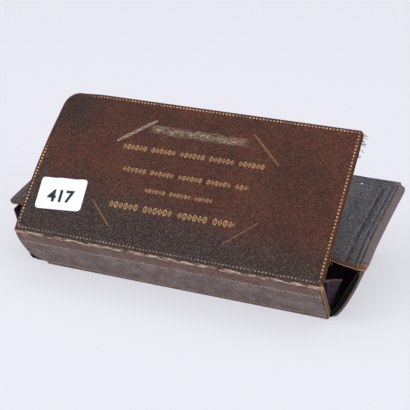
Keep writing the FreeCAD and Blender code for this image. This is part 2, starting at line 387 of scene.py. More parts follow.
class Nodes:
    """A node tree, with short calls for the nodes that it uses."""

    def __init__(self, tree):
        self.tree = tree

    def node(self, kind, **values):
        made = self.tree.nodes.new(kind)
        for key, value in values.items():
            setattr(made, key, value)
        return made

    def feed(self, socket, value):
        """Link a socket's value, or set a number or colour on the socket itself."""
        if isinstance(value, bpy.types.NodeSocket):
            self.tree.links.new(value, socket)
        elif hasattr(value, "__len__") and len(value) == 3 and len(socket.default_value) == 4:
            socket.default_value = (*value, 1)
        else:
            socket.default_value = value

    def math(self, operation, *values, clamp=False):
        made = self.node("ShaderNodeMath", operation=operation, use_clamp=clamp)
        for socket, value in zip(made.inputs, values):
            self.feed(socket, value)
        return made.outputs[0]

    def add(self, first, second):
        return self.math("ADD", first, second)

    def less(self, first, second):
        return self.math("SUBTRACT", first, second)

    def times(self, first, second):
        return self.math("MULTIPLY", first, second)

    def chain(self, operation, values):
        """One operation carried through several values in turn."""
        result = values[0]
        for value in values[1:]:
            result = self.math(operation, result, value)
        return result

    def least(self, *values):
        return self.chain("MINIMUM", values)

    def most(self, *values):
        return self.chain("MAXIMUM", values)

    def invert(self, value):
        return self.math("SUBTRACT", 1.0, value, clamp=True)

    def apart(self, first, second):
        """How far apart two values are."""
        return self.math("ABSOLUTE", self.less(first, second))

    def length(self, first, second):
        """The length of a line from its runs in two square directions."""
        squares = [self.math("POWER", run, 2.0) for run in (first, second)]
        return self.math("SQRT", self.add(*squares))

    def swing(self, field, width):
        """A field of 0 to 1 as a swing to both sides of zero, a width in all."""
        return self.times(self.less(field, 0.5), width)

    def step(self, value, low, high, out_low=0.0, out_high=1.0):
        """A smooth step from one level to another as a value goes from low to high."""
        made = self.node("ShaderNodeMapRange", interpolation_type="SMOOTHSTEP")
        for name, item in (("Value", value), ("From Min", low), ("From Max", high),
                           ("To Min", out_low), ("To Max", out_high)):
            self.feed(made.inputs[name], item)
        return made.outputs[0]

    def fade(self, value, low, high):
        """A smooth step down from 1 to 0."""
        return self.step(value, low, high, 1.0, 0.0)

    def near(self, value, place, half_width, softness):
        """1 within a half width of a place, falling to 0 over the softness."""
        return self.fade(self.apart(value, place), half_width, half_width + softness)

    def between(self, value, low, high, softness):
        """1 between two places, falling to 0 past each over the softness."""
        return self.times(self.step(value, low - softness, low + softness),
                          self.fade(value, high - softness, high + softness))

    def rays_to_eye(self):
        """1 for what the camera sees, straight or through a gloss."""
        rays = self.node("ShaderNodeLightPath")
        return self.most(rays.outputs["Is Camera Ray"], rays.outputs["Is Glossy Ray"],
                         rays.outputs["Is Transmission Ray"])

    def mix_light(self, share, first, second, output):
        """Send the output a mix of two lights, by the second one's share."""
        made = self.node("ShaderNodeMixShader")
        for socket, value in zip(made.inputs, (share, first, second)):
            self.feed(socket, value)
        self.feed(self.tree.nodes[output].inputs["Surface"], made.outputs[0])


class Shader(Nodes):
    """One material's node tree."""

    def __init__(self, name):
        self.material = bpy.data.materials.new(name)
        self.material.use_nodes = True
        super().__init__(self.material.node_tree)
        self.surface = self.tree.nodes["Principled BSDF"]

    def parts(self, vector):
        """A vector's three numbers."""
        made = self.node("ShaderNodeSeparateXYZ")
        self.feed(made.inputs[0], vector)
        return list(made.outputs)

    def flat(self):
        """The flat cut's coordinates in millimetres: vector, across, along and depth."""
        made = self.node("ShaderNodeAttribute", attribute_name="flat")
        return (made.outputs["Vector"], *self.parts(made.outputs["Vector"]))

    def place_mm(self):
        """Object coordinates in millimetres."""
        made = self.node("ShaderNodeTexCoord")
        return self.scaled(made.outputs["Object"], (1 / MM, 1 / MM, 1 / MM))

    def scaled(self, vector, scale):
        made = self.node("ShaderNodeVectorMath", operation="MULTIPLY")
        self.feed(made.inputs[0], vector)
        made.inputs[1].default_value = scale
        return made.outputs[0]

    def shifted(self, vector, amount_colour, strength):
        """A vector pushed about by a colour field."""
        centred = self.node("ShaderNodeVectorMath", operation="SUBTRACT")
        self.feed(centred.inputs[0], amount_colour)
        centred.inputs[1].default_value = (0.5, 0.5, 0.5)
        grown = self.node("ShaderNodeVectorMath", operation="SCALE")
        self.feed(grown.inputs[0], centred.outputs[0])
        grown.inputs["Scale"].default_value = strength
        made = self.node("ShaderNodeVectorMath", operation="ADD")
        self.feed(made.inputs[0], vector)
        self.feed(made.inputs[1], grown.outputs[0])
        return made.outputs[0]

    def noise(self, vector, scale, detail=4.0, roughness=0.55, stretch=None, colour=False):
        """A cloudy field, squeezed along each axis by the stretch."""
        made = self.node("ShaderNodeTexNoise")
        self.feed(made.inputs["Vector"], self.scaled(vector, stretch) if stretch else vector)
        made.inputs["Scale"].default_value = scale
        made.inputs["Detail"].default_value = detail
        made.inputs["Roughness"].default_value = roughness
        return made.outputs["Color" if colour else "Fac"]

    def cells(self, vector, scale):
        """Distance from the middles of scattered cells."""
        made = self.node("ShaderNodeTexVoronoi")
        self.feed(made.inputs["Vector"], vector)
        made.inputs["Scale"].default_value = scale
        return made.outputs["Distance"]

    def mix(self, share, first, second):
        """A colour between two, by the second one's share."""
        made = self.node("ShaderNodeMix", data_type="RGBA")
        self.feed(made.inputs[0], share)
        self.feed(made.inputs[6], first)
        self.feed(made.inputs[7], second)
        return made.outputs[2]

    def blend(self, share, first, second):
        """A number between two, by the second one's share."""
        made = self.node("ShaderNodeMix", data_type="FLOAT")
        self.feed(made.inputs[0], share)
        self.feed(made.inputs[2], first)
        self.feed(made.inputs[3], second)
        return made.outputs[0]

    def bump(self, height, depth_mm, normal=None):
        """Bump whose height field of 0 to 1 is a depth in millimetres."""
        made = self.node("ShaderNodeBump")
        made.inputs["Strength"].default_value = 1.0
        made.inputs["Distance"].default_value = depth_mm * MM
        self.feed(made.inputs["Height"], height)
        if normal is not None:
            self.feed(made.inputs["Normal"], normal)
        return made.outputs[0]

    def close(self, colour, roughness, normal=None, metallic=0.0, **constants):
        """Wire the surface, with constants on the shader's own sockets."""
        self.feed(self.surface.inputs["Base Color"], colour)
        self.feed(self.surface.inputs["Roughness"], roughness)
        self.feed(self.surface.inputs["Metallic"], metallic)
        if normal is not None:
            self.feed(self.surface.inputs["Normal"], normal)
        for key, value in constants.items():
            self.surface.inputs[key.replace("_", " ")].default_value = value
        return self.material


def leather_grain(shader, vector, cell_mm):
    """Pebbled grain: a height field from 0 in the creases to 1 on the pebbles."""
    wander = shader.noise(vector, 0.35 / cell_mm, 2.0, colour=True)
    bent = shader.shifted(vector, wander, cell_mm * 1.2)
    pebbles = shader.cells(bent, 1 / cell_mm)
    fine = shader.noise(bent, 2.6 / cell_mm, 3.0, 0.6)
    soft = shader.fade(pebbles, 0.1, 0.75)
    return shader.math("ADD", shader.times(soft, 0.7), shader.times(fine, 0.3), clamp=True)


def dotted(shader, run, off, pitch, radius):
    """Round dots in a row: run goes along the row, off is the distance from it."""
    turn = shader.math("FRACT", shader.times(run, 1 / pitch))
    along = shader.swing(turn, pitch * 0.82)
    reach = shader.length(along, off)
    return shader.fade(reach, radius * 0.7, radius * 1.15)


def ornament_row(shader, across, along, middle, low, high, pitch, height):
    """A row of fine gilt lozenges and rings in turn, with a rest after every few."""
    off = shader.apart(along, COVER_START_MM + middle)
    run = shader.times(shader.less(across, low), 1 / pitch)
    turn = shader.math("FRACT", run)
    number = shader.math("FLOOR", run)
    side = shader.times(shader.apart(turn, 0.5), pitch)
    half_wide = pitch * 0.42
    wide_share = shader.times(side, 1 / half_wide)
    tall_share = shader.times(off, 2 / height)
    diamond = shader.add(wide_share, tall_share)
    diamond_line = shader.near(diamond, 0.86, 0.07, 0.14)
    centre = shader.fade(diamond, 0.14, 0.3)
    ellipse = shader.length(wide_share, tall_share)
    ring = shader.near(ellipse, 0.86, 0.06, 0.12)
    bar = shader.times(shader.near(side, 0.0, 0.05, 0.2), shader.fade(tall_share, 0.45, 0.6))
    odd = shader.math("MODULO", number, 2.0)
    shape = shader.blend(odd, shader.most(diamond_line, centre), shader.most(ring, bar))
    rest = shader.step(shader.math("MODULO", shader.add(number, 1.0), 7.0), 0.4, 0.6)
    return shader.times(shader.times(shape, rest), shader.between(across, low, high, 0.1))


# Places on the front wrap, in millimetres of its flat cut: up from the front hinge

SPINE_MM = SPINE_REACH / MM
ROLL_MM = (FOLD_RADIUS / MM) * COVER_BEND
COVER_START_MM = SPINE_MM + ROLL_MM
COVER_END_MM = COVER_START_MM + COVER_REACH / MM
# The gilt dots, and how far their rows stand in from the cover's edges
GILT_PITCH = 2.25
GILT_RADIUS = 0.5
GILT_INSET = 1.35
# The rows of dots that run along the case
COVER_DOTS = (COVER_END_MM - GILT_INSET, COVER_START_MM + 1.2)
SPINE_DOTS = (SPINE_MM - 10.6, 2.6)
# How far out from the boards' middle their pale rims show at the ends
OUTER_RIM = 1.35
INNER_RIM = -1.75
# For each row of ornament: its middle above the cover's fold, its two ends, its pitch and its height
ROW_PLACES = (
    (67.3, -46.2, 49.0, 2.8, 3.5),
    (51.8, -41.2, 43.0, 2.7, 3.2),
    (39.6, -22.2, 23.0, 2.4, 2.7),
    (27.0, -42.2, 41.0, 3.3, 4.3),
)
# Both ends of each card slit: across the cover, and up from its fold
SLIT_ENDS = (
    ((-50.9, 70.3), (-29.3, 87.5)),
    ((36.9, 87.7), (56.8, 70.0)),
    ((-53.3, 27.0), (-37.5, 11.9)),
    ((37.4, 13.7), (55.2, 30.8)),
)


# Tones of the brown leather and its gilt
RED_BROWN = tone(98, 53, 37)
DARK_BROWN = tone(56, 36, 28)
SOOTY_BROWN = tone(50, 38, 35)
SPINE_DARK = tone(120, 101, 96)
SPINE_PALE = tone(148, 133, 128)
RUST = tone(112, 74, 62)
BROWN_CREASE_SHADE = tone(26, 17, 16)
BROWN_GLINT = tone(150, 104, 78)
GREYED_GLINT = tone(146, 134, 126)
BARE_RIDGE = tone(222, 188, 164)
BARE_SPINE_END = tone(196, 140, 96)
SCUFF = tone(150, 132, 124)
SMEAR = tone(152, 140, 124)
GILT_FLECK = tone(212, 176, 128)
SLIT_TAN = tone(150, 112, 82)
SPINE_END = tone(92, 74, 62)
SPINE_RIM = tone(178, 142, 108)
COVER_END = tone(58, 31, 18)
COVER_RIM = tone(160, 110, 68)
FOLD_END = tone(190, 146, 104)
FOLD_GILT = tone(200, 176, 152)
SPINE_GILT = tone(222, 184, 142)
ROW_GILT = tone(206, 160, 106)


def front_leather():
    """Brown grained leather with gilt borders, greyer and rubbed on the spine."""
    shader = Shader("front_leather")
    vector, across, along, depth = shader.flat()
    tints = colours()
    grain = leather_grain(shader, vector, 0.95)
    broad = shader.noise(vector, 0.035, 4.0, 0.6)
    patches = shader.noise(vector, 0.12, 5.0, 0.65)
    speckle = shader.noise(vector, 1.3, 3.0, 0.7)

    on_spine = shader.fade(along, SPINE_MM - 2.5, SPINE_MM + 0.5)
    height = shader.less(along, COVER_START_MM)
    leaning = shader.add(shader.times(patches, 26.0), shader.times(across, 0.14))
    low_part = shader.fade(shader.add(height, leaning), 20.0, 58.0)
    red = shader.mix(shader.step(broad, 0.38, 0.62), tints.brown, RED_BROWN)
    cover_tint = shader.mix(shader.times(low_part, 0.85), red, tints.umber)
    cover_tint = shader.mix(shader.step(patches, 0.48, 0.75, 0.0, 0.5), cover_tint, DARK_BROWN)
    far_left = shader.times(shader.fade(across, -88.0, -58.0), shader.step(height, 62.0, 88.0))
    cover_tint = shader.mix(shader.times(far_left, 0.8), cover_tint, SOOTY_BROWN)
    spine_tint = shader.mix(shader.step(patches, 0.35, 0.7), SPINE_DARK, SPINE_PALE)
    rusty = shader.between(along, SPINE_MM - 9.0, SPINE_MM - 1.0, 1.2)
    spine_tint = shader.mix(shader.times(rusty, 0.55), spine_tint, RUST)
    tint = shader.mix(on_spine, cover_tint, spine_tint)
    # The grain's creases are darkened: painted shade.
    creases = shader.step(grain, 0.3, 0.72)
    crease_shade_strength = shader.blend(on_spine, shader.blend(low_part, 0.54, 0.62), 0.32)
    tint = shader.mix(crease_shade_strength, tint, shader.mix(creases, BROWN_CREASE_SHADE, tint))
    sparkle = shader.step(shader.add(grain, shader.times(speckle, 0.6)), 0.96, 1.2)
    sparkle = shader.times(sparkle, shader.blend(low_part, 0.22, 0.3))
    tint = shader.mix(sparkle, tint, shader.mix(low_part, BROWN_GLINT, GREYED_GLINT))

    left = COVER_LOW_X / MM
    right = COVER_HIGH_X / MM
    edge = shader.least(shader.less(across, left), shader.less(right, across),
                        shader.less(COVER_END_MM, along))
    ragged = shader.add(edge, shader.swing(patches, 2.2))
    worn = shader.fade(ragged, 0.1, 1.2)
    right_side = shader.step(across, 60.0, 90.0)
    worn = shader.times(worn, shader.blend(right_side, 0.4, 0.9))
    tint = shader.mix(worn, tint, tints.tan)

    ridge = shader.near(along, SPINE_MM + 0.5, 0.5, 1.3)
    broken = shader.step(shader.noise(vector, 1.1, 4.0, 0.7, (0.16, 1.0, 1.0)), 0.44, 0.56)
    streak = shader.times(ridge, broken)
    tint = shader.mix(shader.times(streak, 0.85), tint, BARE_RIDGE)
    end_wear = shader.times(shader.fade(across, -97.0, -86.0),
                            shader.between(along, SPINE_MM - 4.0, SPINE_MM + 1.2, 1.0))
    end_wear = shader.times(end_wear, shader.step(patches, 0.36, 0.56))
    tint = shader.mix(end_wear, tint, BARE_SPINE_END)
    scuffs = shader.noise(vector, 1.0, 5.0, 0.75, (0.08, 0.55, 0.5))
    scuff_mask = shader.times(shader.step(scuffs, 0.58, 0.72), shader.blend(on_spine, 0.14, 0.4))
    tint = shader.mix(scuff_mask, tint, SCUFF)

    left_line = left + GILT_INSET
    right_line = right - GILT_INSET
    row_off = shader.least(*[shader.apart(along, place) for place in COVER_DOTS + SPINE_DOTS])
    row_dots = dotted(shader, across, row_off, GILT_PITCH, GILT_RADIUS)
    row_dots = shader.times(row_dots, shader.between(across, left_line, right_line, 0.2))
    side_off = shader.least(shader.apart(across, left_line), shader.apart(across, right_line))
    side_dots = dotted(shader, along, side_off, GILT_PITCH, GILT_RADIUS)
    side_dots = shader.times(side_dots, shader.between(along, COVER_DOTS[1], COVER_DOTS[0], 0.3))
    dots = shader.most(row_dots, side_dots)

    corner_x = shader.fade(across, -92.0, -60.0)
    corner_y = shader.step(along, COVER_START_MM + 52.0, COVER_START_MM + 66.0)
    lost = shader.times(corner_x, corner_y)
    faded = shader.step(shader.noise(vector, 0.22, 3.0, 0.6), 0.36, 0.56)
    on_top = shader.step(along, COVER_START_MM + 3.0, COVER_START_MM + 6.0)
    below = shader.fade(along, SPINE_MM - 6.0, SPINE_MM - 4.0)
    dull = shader.most(shader.blend(on_top, 0.55, 1.0), shader.times(below, 0.9))
    dull = shader.times(dull, shader.add(0.35, shader.times(faded, 0.65)))
    dots = shader.times(shader.times(dots, shader.invert(lost)), dull)

    rows_mask = shader.most(*[ornament_row(shader, across, along, *row) for row in ROW_PLACES])
    flaked = shader.step(shader.noise(vector, 1.7, 3.0, 0.65), 0.34, 0.52)
    rows_mask = shader.times(rows_mask, shader.add(0.25, shader.times(flaked, 0.75)))
    gilt = shader.most(dots, rows_mask)

    smear_x = shader.between(across, -30.0, 32.0, 5.0)
    waving = shader.add(along, shader.times(patches, 4.0))
    smear_y = shader.near(waving, COVER_START_MM + 83.6, 0.9, 3.0)
    smear_noise = shader.step(shader.noise(vector, 0.8, 5.0, 0.75, (0.3, 1.0, 1.0)), 0.36, 0.7)
    smear = shader.times(shader.times(smear_x, smear_y), smear_noise)
    tint = shader.mix(shader.times(smear, 0.8), tint, SMEAR)
    flecks = shader.step(shader.noise(vector, 0.75, 4.0, 0.7, (0.8, 1.6, 1.0)), 0.56, 0.66)
    tint = shader.mix(shader.times(shader.times(smear_x, smear_y), flecks), tint, GILT_FLECK)

    slits = slit_marks(shader, across, along)
    tint = shader.mix(slits, tint, SLIT_TAN)

    end_face = shader.step(shader.apart(across, (left + right) / 2),
                           (right - left) / 2 + 0.05, (right - left) / 2 + 0.3)
    outer_rim = shader.near(depth, OUTER_RIM, 0.2, 0.3)
    inner_rim = shader.near(depth, INNER_RIM, 0.25, 0.3)
    spine_end = shader.mix(shader.most(outer_rim, inner_rim), SPINE_END, SPINE_RIM)
    cover_end = shader.mix(inner_rim, COVER_END, COVER_RIM)
    end_tint = shader.mix(on_spine, cover_end, spine_end)
    tint = shader.mix(shader.times(end_face, 0.9), tint, end_tint)
    knob = shader.times(end_face, shader.between(along, SPINE_MM - 4.5, COVER_START_MM + 0.5, 1.0))
    tint = shader.mix(shader.times(knob, 0.8), tint, FOLD_END)

    dot_gold = shader.mix(on_top, FOLD_GILT, tints.gilt)
    dot_gold = shader.mix(below, dot_gold, SPINE_GILT)
    gold = shader.mix(rows_mask, dot_gold, ROW_GILT)
    tint = shader.mix(gilt, tint, gold)
    metal = shader.times(gilt, 0.4)
    rough = shader.blend(gilt, shader.blend(creases, 0.72, 0.5), 0.38)
    rough = shader.math("ADD", rough, shader.times(worn, 0.2), clamp=True)

    sunk = shader.less(shader.times(grain, 0.55), shader.times(shader.most(dots, rows_mask), 0.5))
    normal = shader.bump(sunk, 0.12)
    wrinkles = shader.noise(vector, 0.28, 4.0, 0.6, (0.35, 1.0, 1.0))
    normal = shader.bump(wrinkles, 0.35, normal)
    return shader.close(tint, rough, normal, metal, Specular_IOR_Level=0.24)


def slit_run(ends):
    """The way along a slit, from its start to its end, in millimetres."""
    (x1, s1), (x2, s2) = ends
    return Vector((x2 - x1, s2 - s1))


def slit_marks(shader, across, along):
    """Pale rubbed leather along the four slits."""
    marks = []
    for ends in SLIT_ENDS:
        run = slit_run(ends)
        unit = run.normalized()
        local_x = shader.less(across, ends[0][0])
        local_y = shader.less(along, COVER_START_MM + ends[0][1])
        down = shader.add(shader.times(local_x, unit.x), shader.times(local_y, unit.y))
        off = shader.less(shader.times(local_y, unit.x), shader.times(local_x, unit.y))
        line = shader.near(off, 0.0, 0.3, 0.5)
        marks.append(shader.times(line, shader.between(down, 0.0, run.length, 1.0)))
    return shader.times(shader.most(*marks), 0.3)


# For each blind-tooled line: how far in it runs from the flap's ends and from its rear, and its
# half width
TOOLED_LINES = ((4.3, 2.6, 0.3), (7.4, 5.4, 0.25), (12.2, 8.4, 0.9))
# Tones of the grey leather
DARK_GREY = tone(84, 84, 90)
PALE_STREAK = tone(138, 130, 128)
DARK_STREAK = tone(50, 50, 57)
GREY_CREASE_SHADE = tone(36, 35, 40)
GREY_GLINT = tone(150, 146, 148)
LIP_BROWN = tone(74, 62, 58)
END_BAND = tone(140, 120, 116)
POLISHED = tone(138, 132, 134)
TOOLED = tone(36, 36, 42)
PALE_SPECK = tone(226, 216, 206)
WORN_LIP = tone(84, 46, 27)
FRAYED = tone(158, 116, 78)
RAW_EDGE = tone(222, 186, 152)


def grey_leather():
    """Rubbed grey leather, its grey partly the leather's own and partly painted sheen of the light from
    above, with blind-tooled double lines, browner at its edges.
    """
    shader = Shader("grey_leather")
    vector, across, along, depth = shader.flat()
    across = shader.times(across, -1.0)
    grain = leather_grain(shader, vector, 1.1)
    speckle = shader.noise(vector, 1.2, 3.0, 0.7)
    broad = shader.noise(vector, 0.05, 4.0, 0.6)
    patches = shader.noise(vector, 0.16, 5.0, 0.65)
    half = FLAP_HALF / MM
    start = REAR_REACH / MM + (FOLD_RADIUS / MM) * FLAP_BEND
    lip = start + FLAP_REACH / MM
    # The grey ground is partly the leather's own colour and partly painted sheen of the light from
    # above.
    tint = shader.mix(shader.step(broad, 0.35, 0.68), DARK_GREY, colours().grey)
    streaks = shader.noise(vector, 0.7, 5.0, 0.75, (1.0, 0.07, 1.0))
    tint = shader.mix(shader.step(streaks, 0.52, 0.72, 0.0, 0.6), tint, PALE_STREAK)
    tint = shader.mix(shader.step(streaks, 0.3, 0.46, 0.55, 0.0), tint, DARK_STREAK)
    # The grain's creases are darkened: painted shade.
    creases = shader.step(grain, 0.28, 0.75)
    tint = shader.mix(0.6, tint, shader.mix(creases, GREY_CREASE_SHADE, tint))
    sparkle = shader.step(shader.add(grain, shader.times(speckle, 0.6)), 0.95, 1.2)
    tint = shader.mix(shader.times(sparkle, 0.25), tint, GREY_GLINT)
    from_end = shader.less(half, shader.math("ABSOLUTE", across))
    from_lip = shader.less(lip, along)
    from_rear = shader.less(along, start)
    to_right = shader.step(across, -60.0, 60.0)
    to_lip = shader.fade(from_lip, 2.0, 34.0)
    tint = shader.mix(shader.times(to_lip, 0.4), tint, LIP_BROWN)
    uneven = shader.add(from_end, shader.swing(patches, 4.0))
    band = shader.fade(uneven, 1.6, 7.0)
    tint = shader.mix(shader.times(band, shader.blend(to_right, 0.1, 0.5)), tint, END_BAND)
    on_flap = shader.step(along, start - 0.5, start + 0.5)
    dark_lines = []
    pale_lines = []
    for in_end, in_rear, width in TOOLED_LINES:
        past_rear = shader.step(from_rear, in_rear - 0.2, in_rear + 0.2)
        past_end = shader.step(from_end, in_end - 0.2, in_end + 0.2)
        dark_lines.append(shader.times(shader.near(from_end, in_end, width, 0.4), past_rear))
        dark_lines.append(shader.times(shader.near(from_rear, in_rear, width, 0.4), past_end))
        beside = width + 0.8
        pale_lines.append(shader.times(shader.near(from_end, in_end + beside, 0.2, 0.5), past_rear))
        pale_lines.append(shader.times(shader.near(from_rear, in_rear + beside, 0.2, 0.5), past_end))
    dark_lines.append(shader.near(from_lip, 5.4, 0.3, 0.4))
    dark_lines.append(shader.times(shader.near(from_end, 24.0, 0.25, 0.4),
                                   shader.between(from_lip, 42.0, 78.0, 2.0)))
    worn_away = shader.step(shader.noise(vector, 0.3, 3.0, 0.6), 0.34, 0.5)
    tooled = shader.times(shader.times(shader.most(*dark_lines), on_flap), worn_away)
    polished = shader.times(shader.times(shader.most(*pale_lines), on_flap), worn_away)
    tint = shader.mix(shader.times(polished, 0.32), tint, POLISHED)
    tint = shader.mix(shader.times(tooled, 0.85), tint, TOOLED)
    speck = shader.times(shader.near(across, 92.4, 0.5, 0.4), shader.near(from_rear, 9.4, 0.5, 0.4))
    tint = shader.mix(speck, tint, PALE_SPECK)
    ragged = shader.add(from_lip, shader.swing(patches, 3.0))
    worn_lip = shader.fade(ragged, 1.4, 3.6)
    tint = shader.mix(shader.times(worn_lip, shader.blend(to_right, 0.6, 0.9)), tint, WORN_LIP)
    corner = shader.add(shader.less(half, across), from_lip)
    corner = shader.add(corner, shader.swing(patches, 10.0))
    frayed = shader.fade(corner, 2.0, 8.0)
    torn = shader.step(shader.noise(vector, 0.9, 4.0, 0.7), 0.42, 0.58)
    frayed = shader.times(frayed, shader.add(0.35, shader.times(torn, 0.5)))
    tint = shader.mix(frayed, tint, FRAYED)
    ripple = shader.swing(patches, 1.2)
    pale = shader.fade(shader.add(depth, ripple), 0.3, 0.8)
    pale = shader.times(pale, shader.fade(from_lip, 0.0, 1.2))
    pale = shader.times(pale, shader.step(across, 20.0, 92.0, 0.3, 1.0))
    tint = shader.mix(shader.times(pale, 0.9), tint, RAW_EDGE)
    rough = shader.blend(creases, 0.75, 0.5)
    high = shader.less(shader.times(grain, 0.5), shader.times(tooled, 0.8))
    normal = shader.bump(high, 0.16)
    normal = shader.bump(patches, 0.4, normal)
    return shader.close(tint, rough, normal, Specular_IOR_Level=0.3)


def gusset_leather():
    """Soft grey-brown leather of the end walls and folds, scuffed tan at its edges."""
    shader = Shader("gusset_leather")
    vector = shader.place_mm()
    grain = leather_grain(shader, vector, 1.0)
    broad = shader.noise(vector, 0.06, 4.0, 0.6)
    patches = shader.noise(vector, 0.2, 5.0, 0.7)
    tint = shader.mix(shader.step(broad, 0.35, 0.65), tone(96, 84, 80), tone(134, 114, 104))
    tint = shader.mix(shader.step(patches, 0.5, 0.72, 0.0, 0.6), tint, tone(152, 128, 112))
    # The grain's creases are darkened: painted shade.
    creases = shader.step(grain, 0.25, 0.8)
    tint = shader.mix(0.45, tint, shader.mix(creases, tone(44, 38, 38), tint))
    rough = shader.blend(creases, 0.75, 0.52)
    normal = shader.bump(grain, 0.1)
    wrinkles = shader.noise(vector, 0.35, 4.0, 0.6, (1.0, 0.3, 1.0))
    normal = shader.bump(wrinkles, 0.5, normal)
    return shader.close(tint, rough, normal, Specular_IOR_Level=0.4)


# Pitch of the silk's ribs and of the ribbons' cords, in millimetres
RIB_PITCH = 0.55
CORD_PITCH = 0.9


def watered_silk(name, colour, shade):
    """Purple watered silk: fine ribs with a wandering moire, its colour scaled down by the shade
    factor; a low factor paints the shadow inside the case into the silk.
    """
    shader = Shader(name)
    vector = shader.place_mm()
    wander = shader.noise(vector, 0.05, 3.0, 0.55)
    across, inward, _ = shader.parts(vector)
    run = shader.add(across, shader.times(wander, 5.0))
    ribs = shader.math("SINE", shader.times(run, 2 * math.pi / RIB_PITCH))
    ribs = shader.step(ribs, -1.0, 1.0)
    water = shader.math("SINE", shader.add(shader.times(wander, 55.0), shader.times(inward, 0.35)))
    water = shader.step(water, -0.8, 1.0)
    # A low shade here is painted shade, for silk that lies in the shadow inside the case.
    deep = tuple(channel * shade for channel in colour)
    light = tuple(min(1.0, channel * shade * 1.9 + 0.004) for channel in colour)
    tint = shader.mix(shader.times(water, 0.6), deep, light)
    tint = shader.mix(shader.times(ribs, 0.25), tint, tuple(channel * 0.45 for channel in deep))
    rough = shader.blend(water, 0.62, 0.42)
    normal = shader.bump(ribs, 0.05)
    return shader.close(tint, rough, normal, Sheen_Weight=0.15, Specular_IOR_Level=0.35)


def pasteboard():
    """Raw grey-brown board with pressed fibres."""
    shader = Shader("pasteboard")
    vector = shader.place_mm()
    fibres = shader.noise(vector, 0.9, 5.0, 0.7, (1.0, 1.0, 6.0))
    tint = shader.mix(shader.step(fibres, 0.35, 0.7), tone(120, 98, 74), tone(158, 134, 104))
    return shader.close(tint, 0.9, shader.bump(fibres, 0.08), Specular_IOR_Level=0.2)


def base_leather():
    """Dark leather under the case, rubbed by tables."""
    shader = Shader("base_leather")
    vector = shader.place_mm()
    grain = leather_grain(shader, vector, 0.8)
    rub = shader.noise(vector, 0.07, 5.0, 0.65)
    tint = shader.mix(shader.step(rub, 0.4, 0.7), tone(72, 60, 56), tone(112, 94, 84))
    # The grain's creases are darkened: painted shade.
    tint = shader.mix(shader.step(grain, 0.2, 0.8), tone(38, 30, 28), tint)
    return shader.close(tint, 0.62, shader.bump(grain, 0.1), Specular_IOR_Level=0.4)


def paper():
    """Matt white paper with a faint tooth."""
    shader = Shader("label_paper")
    vector = shader.place_mm()
    tooth = shader.noise(vector, 2.2, 4.0, 0.7)
    tint = shader.mix(shader.step(tooth, 0.3, 0.7), colours().paper, tone(236, 237, 243))
    return shader.close(tint, 0.7, shader.bump(tooth, 0.02), Specular_IOR_Level=0.3)


def ink():
    """Flat printing ink, thin enough to show the paper's tooth."""
    shader = Shader("label_ink")
    tooth = shader.noise(shader.place_mm(), 3.0, 4.0, 0.7)
    tint = shader.mix(shader.step(tooth, 0.3, 0.8), tone(20, 20, 24), tone(44, 44, 50))
    return shader.close(tint, 0.6, Specular_IOR_Level=0.3)


def rubbed_leather(name, colour):
    """Leather worn to its pale, fibrous inside."""
    shader = Shader(name)
    vector = shader.place_mm()
    fibres = shader.noise(vector, 1.6, 5.0, 0.75)
    deep = tuple(channel * 0.3 for channel in colour)
    tint = shader.mix(shader.step(fibres, 0.3, 0.62), deep, colour)
    return shader.close(tint, 0.8, shader.bump(fibres, 0.1), Specular_IOR_Level=0.2)


def ribbed(name, colour):
    """Corded ribbon or thread."""
    shader = Shader(name)
    vector = shader.place_mm()
    across = shader.parts(vector)[0]
    cord = shader.step(shader.math("SINE", shader.times(across, 2 * math.pi / CORD_PITCH)), -1.0, 1.0)
    cloudy = shader.noise(vector, 0.4, 3.0, 0.6)
    deep = tuple(channel * 0.45 for channel in colour)
    # The grooves between the cords are darkened: painted shade.
    tint = shader.mix(cord, deep, colour)
    tint = shader.mix(shader.times(cloudy, 0.3), tint, deep)
    return shader.close(tint, 0.6, shader.bump(cord, 0.12), Sheen_Weight=0.1)


# Leather wraps

# Rows of faces round the wide folds, and round the narrow ones
ROLL_ROWS = 8
FEW_ROWS = 6
MESH_PITCH = 5.0 * MM
# How far beside a fold its groove reaches, and how high the groove's floor stands
GAP = 3.5 * MM
GROOVE_FLOOR = 0.15 * MM


def ease(value):
    """A smooth step from 0 to 1."""
    value = min(1.0, max(0.0, value))
    return value * value * (3 - 2 * value)


def spread(low, high, pitch, extra=()):
    """Cuts from low to high about a pitch apart, with the extra ones kept exact."""
    marks = sorted({low, high, *[mark for mark in extra if low < mark < high]})
    cuts = []
    for first, last in zip(marks, marks[1:]):
        count = max(1, round((last - first) / pitch))
        cuts += [first + (last - first) * i / count for i in range(count)]
    return cuts + [high]


def leather_cut(name, x_cuts, y_cuts, corners=()):
    """A flat outline with rounded corners, cut into a grid, and left in edit mode.

    Each corner is (x end, y end, radius), with an end of 0 or -1 in the cuts.
    """
    piece = flat_plane(name, (x_cuts[0], y_cuts[0]), (x_cuts[-1], y_cuts[-1]))
    edit(piece)
    for x_end, y_end, radius in corners:
        round_corner(piece, (x_cuts[x_end], y_cuts[y_end]), radius)
    cut_across(0, x_cuts[1:-1])
    cut_across(1, y_cuts[1:-1])
    return piece


def thicken(piece, top, low):
    """Give a flat cut its thickness, from a top height down to a low one."""
    pick(piece, "VERT", lambda vert: True)
    bpy.ops.transform.translate(value=(0, 0, top))
    bpy.ops.mesh.select_mode(type="FACE")
    bpy.ops.mesh.select_all(action="SELECT")
    bpy.ops.mesh.extrude_region_move(TRANSFORM_OT_translate={"value": (0, 0, low - top)})
    bpy.ops.mesh.select_all(action="SELECT")
    bpy.ops.mesh.normals_make_consistent(inside=False)


def round_rims(piece, width, segments=3):
    """Round a thickened cut's sharp edges."""
    finish_modifier(piece, "BEVEL", width=width, segments=segments, limit_method="ANGLE",
                    angle_limit=math.radians(60))


